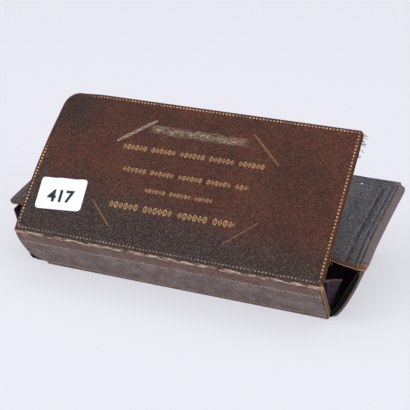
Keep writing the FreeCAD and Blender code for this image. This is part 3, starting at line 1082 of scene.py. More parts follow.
def press(piece, move):
    """Shift every vertex by hand, by a rule of its place."""
    for vert in piece.data.vertices:
        vert.co = move(vert.co.copy())
    piece.data.update()


def cover_faces(piece, materials, choose):
    """Give each face the material that a rule of its centre and normal chooses."""
    for material in materials:
        piece.data.materials.append(material)
    for face in piece.data.polygons:
        face.material_index = choose(face.center, face.normal)


def groove(co, start, roll, gap):
    """Lift the inner side to the fold's centre, so that the fold closes as a groove."""
    if co.z > 0:
        return co
    share = min(ease((co.y - start + gap) / gap), ease((start + roll + gap - co.y) / gap))
    co.z = co.z * (1 - share) + GROOVE_FLOOR * share
    return co


def fold_rows(start, roll, rows):
    """The places of the rows of faces that a fold rolls round."""
    return [start + roll * i / rows for i in range(rows + 1)]


# The cover's left edge bows out up to a height, and comes in and dips past it, over a strip this wide
LEFT_STRIP = 15 * MM
BOW_OUT, BOW_TOP, TOP_IN, TOP_DIP = 2.1, 80, 1.8, 1.3


class CASE_OT_front_wrap(bpy.types.Operator):
    """Cover and front spine in one piece of brown leather, folded over the worn hinge"""

    bl_idname = "case.front_wrap"
    bl_label = "Front wrap"

    def execute(self, context):
        tray = sizes()
        radius = FOLD_RADIUS
        roll = radius * COVER_BEND
        low = COVER_LOW_X - tray.proud
        high = COVER_HIGH_X + tray.proud
        foot = 1.2 * MM
        end = SPINE_REACH + roll + COVER_REACH + tray.proud
        inner = (low + tray.turn_in, high - tray.turn_in, end - tray.turn_in)
        rows = fold_rows(SPINE_REACH, roll, ROLL_ROWS)
        rows += [SPINE_REACH - GAP, SPINE_REACH + roll + GAP, inner[2]]
        corners = ((0, -1, tray.worn_corner), (-1, -1, 1.8 * MM), (0, 0, tray.spine_corner))
        piece = leather_cut("cover_wrap", spread(low, high, MESH_PITCH, inner[:2]),
                            spread(foot, end, MESH_PITCH, rows), corners)
        thicken(piece, radius, -radius - 0.15 * MM)

        def left_open(face):
            middle = face.calc_center_median()
            if abs(face.normal.y) > 0.9 and middle.y < foot * 1.1:
                return True
            if face.normal.z > -0.9 or not inner[0] < middle.x < inner[1] or middle.y > inner[2]:
                return False
            return not SPINE_REACH - GAP < middle.y < SPINE_REACH + roll + GAP

        pick(piece, "FACE", left_open)
        bpy.ops.mesh.delete(type="FACE")
        round_rims(piece, tray.edge_round)
        note_flat(piece)
        middle_fold = SPINE_REACH + roll / 2

        def settle(co):
            co = groove(co, SPINE_REACH, roll, GAP)
            margin = ease((low + LEFT_STRIP - co.x) / LEFT_STRIP)
            rise = (co.y - SPINE_REACH - roll) / MM
            flat_y = co.y / MM
            if rise > 0:
                up_bow = min(1.0, (rise + 6) / (BOW_TOP + 6))
                bow = math.sin(math.pi * up_bow) ** 0.7 if rise < BOW_TOP else 0.0
                past_bow = ease((rise - BOW_TOP) / 25)
                co.x += margin * MM * (TOP_IN * past_bow - BOW_OUT * bow)
                co.y -= TOP_DIP * MM * ease((-70 - co.x / MM) / 24) * past_bow
            else:
                belly = math.sin(math.pi * min(1.0, max(0.0, (flat_y - 8) / 32)))
                foot_in = 2.4 * (1 - ease(flat_y / 9))
                co.x += margin * MM * (foot_in - 1.7 * belly - 0.7 * ease(1 + rise / 3))
                lift = 1.2 * ease((-40 - co.x / MM) / 50) + 0.8 * ease((co.x / MM - 75) / 25)
                co.y += lift * MM * (1 - ease(flat_y / 14))
            return co

        press(piece, settle)

        def choose(center, normal):
            at_fold = abs(center.y - middle_fold) < roll / 2 + GAP
            return 1 if at_fold and normal.z < -0.3 and inner[0] < center.x < inner[1] else 0

        cover_faces(piece, (front_leather(), watered_silk("hinge_silk", colours().silk, 0.8)), choose)
        roll_fold(piece, SPINE_REACH, COVER_BEND, radius, ROLL_ROWS)
        finish_modifier(piece, "SOLIDIFY", thickness=tray.skin, offset=-1)
        put(piece, FRONT_HINGE, direction(SPINE_ANGLE), direction(SPINE_ANGLE + math.pi / 2))
        for ends, width in zip(SLIT_ENDS, SLIT_WIDTHS):
            cut_slit(piece, ends, width * MM)
        note_cover(piece)
        smooth(piece)
        start, end = fold_span(COVER_HINGE, direction(COVER_ANGLE), direction(SPINE_ANGLE), radius,
                               COVER_BEND)
        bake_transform(piece)
        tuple(start)
        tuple(end)
        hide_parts("cover_leather", "front_spine_leather", "cover_fold")
        return {"FINISHED"}


COVER_ALONG = direction(COVER_ANGLE)
COVER_OUT = direction(COVER_ANGLE + math.pi / 2)


def on_cover(across_mm, along_mm, out_mm=0.0):
    """A point on the cover's outer face: across the case, up from the fold, and out."""
    return (COVER_HINGE + Vector((across_mm * MM, 0, 0)) + COVER_ALONG * along_mm * MM
            + COVER_OUT * (FOLD_RADIUS + out_mm * MM))


# The part of the cover where the slits are cut: in from its edges, and clear of its worn corner
SLIT_AREA_IN = 8 * MM
WORN_AREA = (30 * MM, 74 * MM)


def note_cover(piece):
    """Give the points that the cutting added their place in the flat cut."""
    items = piece.data.attributes["flat"].data
    for vert, item in zip(piece.data.vertices, items):
        reach = vert.co - COVER_HINGE
        up = reach.dot(COVER_ALONG)
        inside = min(vert.co.x - COVER_LOW_X - SLIT_AREA_IN, COVER_HIGH_X - vert.co.x,
                     COVER_REACH - up, up)
        off_corner = vert.co.x > COVER_LOW_X + WORN_AREA[0] or up < WORN_AREA[1]
        if inside > SLIT_AREA_IN and off_corner:
            item.vector = Vector((vert.co.x, SPINE_REACH + FOLD_RADIUS * COVER_BEND + up,
                                  reach.dot(COVER_OUT))) / MM


def put_on_slit(piece, ends):
    """Lay a piece on the cover with its X along a slit, from the slit's start."""
    unit = slit_run(ends).normalized()
    put(piece, on_cover(*ends[0]), COVER_ALONG * unit.x - ACROSS * unit.y, COVER_OUT)


def cut_slit(piece, ends, width):
    """Cut one card slit through the leather with a thin blade."""
    long = slit_run(ends).length
    blade = leather_cut("blade", [0, long * MM], [-width / 2, width / 2])
    thicken(blade, 1.0 * MM, -1.2 * MM)
    put_on_slit(blade, ends)
    finish_modifier(piece, "BOOLEAN", operation="DIFFERENCE", object=blade, solver="EXACT")
    bpy.data.objects.remove(blade)


# For each slit: its width, and its raised lips' height, width and paleness
SLIT_WIDTHS = (0.7, 0.5, 0.45, 0.3)
SLIT_LIPS = ((0.6, 0.8, True), (0.35, 0.45, False), (0.2, 0.3, False), (0.06, 0.16, False))
LOWER_LIP_SHARE = 0.55


class CASE_OT_slit_lips(bpy.types.Operator):
    """Raised, rubbed lips along the four card slits"""

    bl_idname = "case.slit_lips"
    bl_label = "Slit lips"

    def execute(self, context):
        pale = rubbed_leather("pale_lip", tone(212, 186, 160))
        dull = rubbed_leather("dull_lip", tone(184, 140, 98))
        chance = random.Random(5)
        slits = zip(SLIT_ENDS, SLIT_WIDTHS, SLIT_LIPS)
        for number, (ends, slit_width, (tall, wide, is_pale)) in enumerate(slits):
            long = slit_run(ends).length
            phase = chance.uniform(0, 6)
            for side in (-1, 1):
                share = 1.0 if side > 0 else LOWER_LIP_SHARE
                width = wide * share * MM
                gap = slit_width * 0.42 * MM
                name = "slit_lip_" + str(number) + ("_upper" if side > 0 else "_lower")
                piece = leather_cut(name, spread(-0.6 * MM, (long + 0.6) * MM, 0.9 * MM),
                                    [0, width * 0.3, width * 0.65, width])
                thicken(piece, 0.1 * MM, -0.2 * MM)
                round_rims(piece, 0.12 * MM, 2)

                def curl(co):
                    run_share = co.x / (long * MM)
                    taper = ease(run_share * 3 + 0.25) * ease((1 - run_share) * 5 + 0.3)
                    wave = (0.75 + 0.25 * math.sin(co.x * 900 + phase)
                            + 0.12 * math.sin(co.x * 2300 + phase))
                    lift = 1 - (co.y / width) ** 1.5
                    co.z += tall * share * MM * taper * wave * lift
                    co.y = (gap * (0.35 + 0.65 * taper) + co.y * (0.5 + 0.5 * taper)
                            + 0.12 * MM * math.sin(co.x * 1300 + phase))
                    if side < 0:
                        co.y = -co.y
                    return co

                press(piece, curl)
                if side < 0:
                    turn_faces(piece)
                put_on_slit(piece, ends)
                smooth(piece, 60)
                piece.data.materials.append(pale if is_pale else dull)
                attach(piece, "cover")
        return {"FINISHED"}


# How far the flap's right and left front corners hang down, and how far past its fold it takes
# its full width
RIGHT_DROOP = 5.0 * MM
LEFT_DROOP = 2.0 * MM
FLAP_CORNER = 4.2 * MM
# How far its middle is crowned, its left side spreads at the lip, its leather is wavy and its lip
# is thinned and ragged
FLAP_CROWN = 1.0 * MM
SIDE_SPREAD = 2.8 * MM
WAVINESS = 0.22 * MM
LIP_THINNED = 1.3 * MM
RAGGEDNESS = 0.25 * MM


def flap_droop(x, from_lip):
    """How far the flap's front corners hang down, by place across and distance from the lip."""
    deep = RIGHT_DROOP if x > 0 else LEFT_DROOP
    return deep * ease((abs(x) - 88 * MM) / (30 * MM)) * ease(1 - from_lip / (36 * MM))


class CASE_OT_flap_wrap(bpy.types.Operator):
    """Rear spine and inner flap: grey leather outside, silk inside, with drooping front corners"""

    bl_idname = "case.flap_wrap"
    bl_label = "Flap wrap"

    def execute(self, context):
        tray = sizes()
        radius = FOLD_RADIUS
        roll = radius * FLAP_BEND
        half = FLAP_HALF + tray.proud
        foot = 2.0 * MM
        end = REAR_REACH + roll + FLAP_REACH + tray.proud
        flap_start = REAR_REACH + roll
        foot_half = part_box("rear_hinge_fold")[1].x
        top_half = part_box("rear_spine_leather")[1].x + tray.proud
        border = tray.turn_in
        rows = fold_rows(REAR_REACH, roll, ROLL_ROWS)
        rows += [REAR_REACH - GAP, flap_start + 2 * MM, flap_start + GAP,
                 flap_start + FLAP_CORNER * 1.3, foot + border, end - border]
        piece = leather_cut("flap_wrap", spread(-half, half, 4 * MM, (border - half, half - border)),
                            spread(foot, end, 4 * MM, rows),
                            ((0, -1, 0.8 * MM), (-1, -1, 4.0 * MM)))
        thicken(piece, radius, -radius)
        round_rims(piece, tray.edge_round)
        note_flat(piece)
        chance = random.Random(3)
        phases = [chance.uniform(0, 6) for _ in range(4)]

        def settle(co):
            co = groove(co, REAR_REACH, roll, GAP)
            if co.y < REAR_REACH:
                share = (co.y - foot) / (REAR_REACH - foot)
                co.x *= (foot_half + (top_half - foot_half) * share) / half
                return co
            past = co.y - flap_start
            narrow = (half - top_half) * (1 - ease(past / FLAP_CORNER))
            co.x *= (half - narrow) / half
            if past <= 0:
                return co
            from_lip = end - co.y
            if co.z < 0:
                co.z += (2 * radius - THIN_PANEL) * ease(past / GAP)
                co.z += LIP_THINNED * ease(1 - from_lip / (9 * MM))
            co.z -= flap_droop(-co.x, from_lip)
            co.z += FLAP_CROWN * (1 - (abs(co.x) / (103 * MM)) ** 4) * ease(from_lip / (60 * MM))
            if co.x > 0:
                co.x += SIDE_SPREAD * (co.x / half) ** 4 * ease(1 - from_lip / (56 * MM)) ** 0.8
            away = ease(past / (20 * MM))
            co.z += WAVINESS * away * math.sin(co.x * 70 + phases[0]) * math.sin(co.y * 95 + phases[1])
            ragged = ease(1 - from_lip / (3 * MM))
            torn = math.sin(co.x * 310 + phases[2]) + math.sin(co.x * 830 + phases[3])
            co.y += RAGGEDNESS * ragged * torn
            return co

        press(piece, settle)

        def choose(center, normal):
            inside = normal.z < -0.3 and abs(center.x) < half - border
            return 1 if inside and foot + border < center.y < end - border else 0

        # The silk under the flap is darkened to near black, painted shade for the shadow inside the
        # case.
        cover_faces(piece, (grey_leather(), watered_silk("flap_silk_painted_shade", colours().silk, 0.12)), choose)
        roll_fold(piece, REAR_REACH, FLAP_BEND, radius, ROLL_ROWS)
        put(piece, REAR_HINGE, direction(REAR_ANGLE), direction(REAR_ANGLE - math.pi / 2))
        smooth(piece)
        start, end = fold_span(FLAP_HINGE, direction(FLAP_ANGLE), direction(REAR_ANGLE), radius,
                               FLAP_BEND)
        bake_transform(piece)
        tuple(start)
        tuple(end)
        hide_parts("inner_flap_leather", "inner_flap_board", "inner_flap_lining",
                    "inner_flap_lip", "inner_flap_fold", "rear_spine_leather", "rear_spine_board",
                    "rear_spine_lining")
        return {"FINISHED"}


def furthest(node, heading):
    """The corner of a frame node that lies furthest along a direction."""
    best = max((vert.co for vert in frame["nodes"][node].data.vertices), key=heading.dot)
    return best.copy()


# The share of a wall's depth, from the mouth, over which its leather bellies out, and how thick
# that leather is
BELLY_SHARE = 0.6
BELLY_LEATHER = 1.5 * MM
# How much of its belly a wall keeps when it is folded out flat
# How far the rims of a wall's skin and of its belly are rounded
WALL_RIM = 0.85 * MM
BELLY_RIM = 0.2 * MM
# The place across the case where a wall's top reads the flap's droop
OVERHANG_X = 118 * MM


class CASE_OT_end_walls(bpy.types.Operator):
    """The two flared end walls: swelling grey-brown leather outside, silk inside darkened to near black
    as painted shade
    """

    bl_idname = "case.end_walls"
    bl_label = "End walls"

    def execute(self, context):
        # The wall's silk and the edge at its mouth are painted near black: painted shade for the shadow
        # inside the case.
        materials = (gusset_leather(), watered_silk("wall_silk_painted_shade", colours().silk, 0.05),
                     rubbed_leather("wall_edge_painted_shade", tone(16, 13, 13)))
        self.wall("right_wall", 1, materials)
        self.wall("left_wall", -1, materials)
        return {"FINISHED"}

    def wall(self, name, side, materials):
        """Build one wall, with a side of 1 for the right one and -1 for the left.

        The materials are its outer leather, its silk, darkened as painted shade, and the edge at the
        mouth, painted near black as the shadow inside the case.
        """
        tray = sizes()
        radius = FOLD_RADIUS
        hinge = HINGES[name + "_fold"]
        node = name + "_leather"
        foot_front = furthest(node, -BACK - UP)
        foot_rear = furthest(node, BACK - UP)
        outside = Vector((side, 0, 0))
        top_front = furthest(node, (UP + outside) * 0.9 - BACK)
        top_rear = furthest(node, UP + BACK + outside * 0.9)
        lean = math.atan2(top_front.z - foot_front.z, abs(top_front.x - foot_front.x))
        along = outside * math.cos(lean) + UP * math.sin(lean)
        roll = radius * lean

        def height(point):
            return (point - hinge).dot(along)

        tall = height(top_rear)
        lip_y = FLAP_HINGE.y - FLAP_REACH * abs(math.cos(FLAP_ANGLE))
        front_side = foot_front.y
        rear_side = foot_rear.y
        slope_front = abs(top_front.x - foot_front.x) / (top_front.z - foot_front.z)
        slope_rear = abs(top_rear.x - foot_rear.x) / (top_rear.z - foot_rear.z)

        def full_height(share):
            return height(top_front) + (height(top_rear) - height(top_front)) * share

        def flare(co):
            """Spread the flat wall from its foot up to its top edge, which follows the flap."""
            place = side * co.x
            share = (place - front_side) / (rear_side - front_side)
            if co.y > roll:
                rise = (co.y - roll) / tall
                top_place = top_front.y + (top_rear.y - top_front.y) * share
                new_place = place + (top_place - place) * rise
                top_now = full_height(share)
                top_now -= flap_droop(side * OVERHANG_X, max(0.0, top_place - lip_y))
                co.y = roll + (top_now + 0.3 * MM) * rise
                co.x = side * new_place
            return co

        def depth_share(co):
            """How far back a point of the flat wall lies: 0 at the mouth and 1 at the rear."""
            return min(1.0, max(0.0, (side * co.x - front_side) / (rear_side - front_side)))

        def ripple(co):
            """Slack waves in the skin, and a thickened edge at the mouth."""
            if co.y > roll:
                rise = min(1.0, (co.y - roll) / tall)
                wave = math.sin(side * co.x * 140) * math.sin(co.y * 160) * math.sin(math.pi * rise)
                co.z += 0.15 * MM * wave * (1 - depth_share(co))
                if co.z < 1 * MM:
                    co.z += 0.4 * MM * (1 - ease(depth_share(co) * 14)) * (1.8 if side < 0 else 1)
            return co

        def swell(co):
            """Stand the belly's outer leather off the wall, fullest at the mouth."""
            share = depth_share(co)
            rise = min(1.0, max(0.0, (co.y - roll) / full_height(share)))
            hump = math.sin(math.pi * rise ** 0.62) ** 0.6 if 0 < rise < 1 else 0.0
            inward = max(0.0, 1 - share / BELLY_SHARE) ** 0.85
            bulge = (tray.wall_bulge * hump + 0.4 * MM * rise) * inward
            if side < 0:
                bulge *= 0.3 + 0.5 * ease(share * 5)
            if co.z > radius + 0.2 * MM:
                co.z += max(0.0, bulge) - 0.25 * MM - BELLY_LEATHER
            elif co.z > radius - 0.3 * MM:
                co.z += max(-0.4 * MM, bulge - 0.15 * MM - BELLY_LEATHER)
            return co

        def twist(co):
            """Stand the wall up more steeply towards the rear."""
            share = min(1.0, max(0.0, (co.y - front_side) / (rear_side - front_side)))
            co.x -= side * max(0.0, co.z - foot_front.z) * (slope_front - slope_rear) * share
            return co

        def make_up(piece, rim, rule, choose):
            """Shape a thickened cut, colour its faces, fold it up and set it in place."""
            press(piece, flare)
            round_rims(piece, rim)
            note_flat(piece)
            cover_faces(piece, materials, choose)
            press(piece, rule)
            roll_fold(piece, 0, lean, radius, FEW_ROWS)
            put(piece, hinge, outside, -UP)
            press(piece, twist)
            smooth(piece, 60)

        def depth_cuts(share, pitch):
            """Cuts from the mouth back over a share of the wall's depth."""
            ends = (side * front_side, side * (front_side + (rear_side - front_side) * share))
            return spread(min(ends), max(ends), pitch)

        # The end faces at the mouth take the near-black edge and the inner face the darkened silk, both
        # painted shade.
        def skin_side(center, normal):
            if side * normal.x < -0.3:
                return 2
            return 1 if normal.z < -0.6 else 0

        def belly_side(center, normal):
            return 2 if side * normal.x < -0.3 and center.z < radius - 0.1 * MM else 0

        rows = fold_rows(0, roll, FEW_ROWS)
        skin = leather_cut(name + "_skin", depth_cuts(1.0, 3.5 * MM),
                           spread(0.1 * MM - FOLD_REACH, roll + tall, 3 * MM, rows))
        thicken(skin, radius, 0.2 * MM)
        bpy.ops.object.mode_set(mode="OBJECT")
        make_up(skin, WALL_RIM, ripple, skin_side)
        start, end = fold_span(hinge, outside, along, radius, lean)
        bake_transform(skin)
        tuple(start)
        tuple(end)
        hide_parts(node, name + "_board", name + "_lining", name + "_fold")

        belly = leather_cut(name + "_belly", depth_cuts(BELLY_SHARE, 2.5 * MM),
                            spread(roll + 0.3 * MM, roll + tall * 0.985, 2 * MM))
        thicken(belly, radius + BELLY_LEATHER, radius - 0.6 * MM)
        cut_across(2, [radius - 0.1 * MM])
        bpy.ops.object.mode_set(mode="OBJECT")
        make_up(belly, BELLY_RIM, swell, belly_side)
        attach(belly, name)
        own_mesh(belly)


class CASE_OT_hinges(bpy.types.Operator):
    """The leather folds along the base's front and rear"""

    bl_idname = "case.hinges"
    bl_label = "Base hinges"

    def execute(self, context):
        leather = gusset_leather()
        silk = watered_silk("fold_silk", colours().silk, 0.8)
        radius = FOLD_RADIUS - 0.15 * MM
        reach = 3.0 * MM
        for name, body, hinge, bend, heading in (
                ("front_hinge", "front_spine", FRONT_HINGE, FRONT_BEND, -1),
                ("rear_hinge", "rear_spine", REAR_HINGE, REAR_BEND, 1)):
            node = name + "_fold"
            along = Vector((0, heading, 0))
            roll = radius * bend
            low_x, high_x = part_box(node)[0].x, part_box(node)[1].x
            if heading > 0:
                low_x, high_x = -high_x, -low_x
            piece = leather_cut(name + "_leather",
                                spread(low_x + 0.3 * MM, high_x - 0.3 * MM, MESH_PITCH),
                                spread(-reach, roll + reach, 1.5 * MM, fold_rows(0, roll, FEW_ROWS)))
            thicken(piece, radius, -radius)
            round_rims(piece, 0.5 * MM, 2)
            note_flat(piece)
            press(piece, lambda co: groove(co, 0, roll, 2.4 * MM))
            cover_faces(piece, (leather, silk), lambda center, normal: 1 if normal.z < -0.3 else 0)
            roll_fold(piece, 0, bend, radius, FEW_ROWS)
            put(piece, hinge, along, -UP)
            smooth(piece, 60)
            onward = Matrix.Rotation(heading * bend, 4, "X") @ along
            start, end = fold_span(hinge, along, onward, radius, bend)
            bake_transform(piece)
            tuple(start)
            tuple(end)
            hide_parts(node)
        return {"FINISHED"}


LABEL_WIDTH = 31.6 * MM
LABEL_HEIGHT = 21.8 * MM
LABEL_TURN = math.radians(4.7)
LABEL_NUMBER = "417"
DIGIT_HEIGHT = 8.6 * MM
DIGIT_DROP = 1.6 * MM


class CASE_OT_number_label(bpy.types.Operator):
    """White paper label with a plain number, its top edge a little wavy"""

    bl_idname = "case.number_label"
    bl_label = "Number label"

    def execute(self, context):
        low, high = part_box("paper_label")
        middle = (low + high) / 2
        middle += COVER_OUT * (FOLD_RADIUS + 0.05 * MM - (middle - COVER_HINGE).dot(COVER_OUT))
        along = COVER_ALONG * math.cos(LABEL_TURN) - Vector((math.sin(LABEL_TURN), 0, 0))
        wide, tall = LABEL_WIDTH / 2, LABEL_HEIGHT / 2
        corners = ((0, 0, 2.6 * MM), (0, -1, 2.4 * MM), (-1, 0, 2.8 * MM), (-1, -1, 2.0 * MM))
        piece = leather_cut("label_sticker", spread(-wide, wide, 1.6 * MM),
                            spread(-tall, tall, 1.6 * MM), corners)
        thicken(piece, 0.22 * MM, 0.0)
        round_rims(piece, 0.06 * MM, 2)

        def settle(co):
            upper = ease((co.y - tall * 0.55) / (tall * 0.45))
            co.y += 0.16 * MM * upper * (math.sin(co.x * 420 + 2) - 0.5 * math.sin(co.x * 900 + 1))
            if co.z > 0.1 * MM:
                co.z += 0.18 * MM * (co.x / wide) ** 2 + 0.12 * MM * upper
            return co

        press(piece, settle)
        put(piece, middle, along, COVER_OUT)
        smooth(piece)
        piece.data.materials.append(paper())
        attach(piece, "cover")
        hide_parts("paper_label")

        clear_selection()
        bpy.ops.object.text_add(location=(0, 0, 0))
        digits = context.object
        digits.name = "label_number"
        digits.data.body = LABEL_NUMBER
        digits.data.size = 11.6 * MM
        digits.data.offset = 0.34 * MM
        digits.data.space_character = 1.06
        digits.data.align_x = "CENTER"
        digits.data.align_y = "CENTER"
        digits.data.extrude = 0.03 * MM
        bpy.ops.object.convert(target="MESH")
        digits = context.object
        low_y = min(vert.co.y for vert in digits.data.vertices)
        high_y = max(vert.co.y for vert in digits.data.vertices)
        scale = DIGIT_HEIGHT / (high_y - low_y)
        centre = (low_y + high_y) / 2
        press(digits, lambda co: Vector((co.x * scale, (co.y - centre) * scale, co.z)))
        put(digits, middle + COVER_OUT * 0.42 * MM - along * DIGIT_DROP, along, COVER_OUT)
        digits.data.materials.append(ink())
        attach(digits, "cover")
        return {"FINISHED"}


BED_CHANNELS = 11
SEAM_DEPTH = 0.9 * MM


class CASE_OT_silk_bed(bpy.types.Operator):
    """Crowned silk pad with sewn channels, on the base"""

    bl_idname = "case.silk_bed"
    bl_label = "Silk bed"

    def execute(self, context):
        low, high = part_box("base_pad")
        wide = (high.x - low.x) / 2
        deep = (high.y - low.y) / 2
        thick = high.z - low.z
        pitch = 2 * wide / BED_CHANNELS
        marks = [-wide + pitch * i / 6 for i in range(BED_CHANNELS * 6 + 1)]
        piece = leather_cut("silk_bed", marks, spread(-deep, deep, 2.6 * MM),
                            ((0, 0, 3 * MM), (0, -1, 3 * MM), (-1, 0, 3 * MM), (-1, -1, 3 * MM)))
        thicken(piece, thick, 0)
        round_rims(piece, 1.3 * MM, 4)

        def settle(co):
            share = (co.x + wide) / pitch
            side = abs((share % 1.0) - 0.5) * 2
            in_from_edge = min(wide - abs(co.x), deep - abs(co.y))
            edge = ease(in_from_edge / (8 * MM))
            upper = ease(co.z / thick)
            seam = 1 - ease((1 - side) * 2.6)
            crown = -SEAM_DEPTH * seam * edge + 0.25 * MM * (1 - side ** 2) * edge
            crown -= SEAM_DEPTH * (1 - edge)
            co.z += upper * crown
            near_side = ease(1 - (deep - abs(co.y)) / (5 * MM))
            pull = 0.5 * MM * math.cos(co.x / wide * math.pi / 2) * near_side
            co.y -= math.copysign(pull, co.y)
            return co

        press(piece, settle)
        put(piece, Vector(((low.x + high.x) / 2, (low.y + high.y) / 2, low.z)), BACK, UP)
        smooth(piece, 60)
        piece.data.materials.append(watered_silk("bed_silk", colours().silk, 0.8))
        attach(piece, "base")
        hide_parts("base_pad")
        return {"FINISHED"}


# The loops along each ribbon, the rows of faces in each loop, and how far a loop stands up
RIBBON_LOOPS = 9
LOOP_ROWS = 12
LOOP_RISE = 1.6 * MM


class CASE_OT_loop_ribbons(bpy.types.Operator):
    """Two ribbons sewn to the bed in slack loops for the instruments"""

    bl_idname = "case.loop_ribbons"
    bl_label = "Loop ribbons"

    def execute(self, context):
        ribbon = ribbed("loop_ribbon", tone(104, 60, 100))
        for node, name in (("front_loop_ribbon", "front_loops"), ("rear_loop_ribbon", "rear_loops")):
            low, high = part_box(node)
            width = high.y - low.y
            pitch = (high.x - low.x) / RIBBON_LOOPS
            marks = [pitch * i / LOOP_ROWS for i in range(RIBBON_LOOPS * LOOP_ROWS + 1)]
            piece = leather_cut(name, spread(-width / 2, width / 2, 2.8 * MM), marks)
            thicken(piece, 0.25 * MM, 0.0)
            bpy.ops.object.mode_set(mode="OBJECT")

            def settle(co):
                share = (co.y / pitch) % 1.0
                arch = math.sin(math.pi * share) ** 2
                edge = ease((width / 2 - abs(co.x)) / (2.5 * MM))
                co.z += LOOP_RISE * arch * (0.82 + 0.18 * edge)
                return co

            press(piece, settle)
            put(piece, Vector((low.x, (low.y + high.y) / 2, low.z - 0.1 * MM)), ACROSS, UP)
            smooth(piece, 60)
            piece.data.materials.append(ribbon)
            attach(piece, "base")
            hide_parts(node)
        return {"FINISHED"}


WEB_WIDTH = 8.0 * MM


class CASE_OT_front_ledge(bpy.types.Operator):
    """Low silk-covered wall inside the mouth, with a pale piped top edge and a silk web at each end"""

    bl_idname = "case.front_ledge"
    bl_label = "Front ledge"

    def execute(self, context):
        low, high = stack_box("front_wall_silk", "front_wall_board")
        half = (high.y - low.y) / 2
        tall = high.z - low.z
        piece = leather_cut("front_ledge", spread(low.x, high.x, 4 * MM), spread(0, tall, 2.5 * MM),
                            ((0, -1, 1.2 * MM), (-1, -1, 1.2 * MM)))
        thicken(piece, half, -half)
        round_rims(piece, 0.8 * MM)
        note_flat(piece)
        press(piece, lambda co: Vector((co.x, co.y, co.z * (1 + 0.06 * math.sin(co.x * 180)))))
        put(piece, Vector((0, (low.y + high.y) / 2, low.z)), UP, -BACK)
        smooth(piece, 60)
        # The ledge's silk is darkened well below the bed's, painted shade for the shadow inside the
        # mouth.
        silk = watered_silk("ledge_silk_painted_shade", colours().silk, 0.2)
        piping = ribbed("ledge_edge", tone(150, 112, 86))
        piping_from = high.z - 0.75 * MM
        cover_faces(piece, (silk, piping), lambda center, normal: 1 if center.z > piping_from else 0)
        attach(piece, "base")
        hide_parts("front_wall_silk", "front_wall_board")
        for name, side in (("right_wall_web", 1), ("left_wall_web", -1)):
            self.web(name, side, Vector((high.x, high.y, low.z)), tall, (silk, piping))
        return {"FINISHED"}

    def web(self, name, side, corner, tall, materials):
        """A slack silk wing that stands out from the ledge's end, towards the flared wall."""
        piece = leather_cut(name, spread(0, WEB_WIDTH, 1.3 * MM), spread(0, tall, 2 * MM))
        thicken(piece, 0.5 * MM, -0.5 * MM)
        round_rims(piece, 0.35 * MM, 2)
        note_flat(piece)

        def slack(co):
            out = co.x / WEB_WIDTH
            rise = co.y / tall
            co.x = -1.0 * MM + out * WEB_WIDTH * (0.12 + 0.88 * rise)
            co.z -= (3.6 * out * rise + 0.5 * math.sin(math.pi * out)) * MM
            return co

        press(piece, slack)
        if side < 0:
            press(piece, lambda co: Vector((-co.x, co.y, co.z)))
            turn_faces(piece)
        put(piece, Vector((side * corner.x, corner.y - 0.8 * MM, corner.z)), UP, -BACK)
        smooth(piece, 60)
        piping_from = corner.z + tall - 0.9 * MM
        cover_faces(piece, materials, lambda center, normal: 1 if center.z > piping_from else 0)
        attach(piece, "base")


def strand(points, radius):
    """One frayed strand as a thin tube through its points, thinning to its end."""
    clear_selection()
    bpy.ops.curve.primitive_nurbs_path_add()
    path = bpy.context.object
    spline = path.data.splines[0]
    while len(spline.points) < len(points):
        spline.points.add(1)
    for item, point in zip(spline.points, points):
        item.co = (*point, 1)
        item.radius = 1.0
    for item in list(spline.points)[len(points):]:
        item.co = (*points[-1], 1)
    spline.points[-1].radius = 0.4
    spline.order_u = 3
    spline.use_endpoint_u = True
    path.data.bevel_depth = radius
    path.data.bevel_resolution = 1
    path.data.resolution_u = 4
    path.data.use_fill_caps = True
    bpy.ops.object.convert(target="MESH")
    return bpy.context.object


BENDS = 5


def tuft(name, starts, heading, length, radius, chance, curl):
    """Frayed strands that leave their starts in about one direction and curl."""
    made = []
    for start in starts:
        point = Vector(start)
        way = Vector(heading).normalized()
        points = [point.copy()]
        reach = length * chance.uniform(0.45, 1.0)
        for _ in range(BENDS):
            bend = Vector([chance.uniform(-1, 1) for _ in range(3)]) * curl
            way = (way + bend).normalized()
            point = point + way * reach / BENDS
            points.append(point.copy())
        made.append(strand(points, radius))
    active(made[0])
    for item in made:
        item.select_set(True)
    bpy.ops.object.join()
    piece = bpy.context.object
    piece.name = name
    apply_place(piece)
    smooth(piece, 60)
    return piece


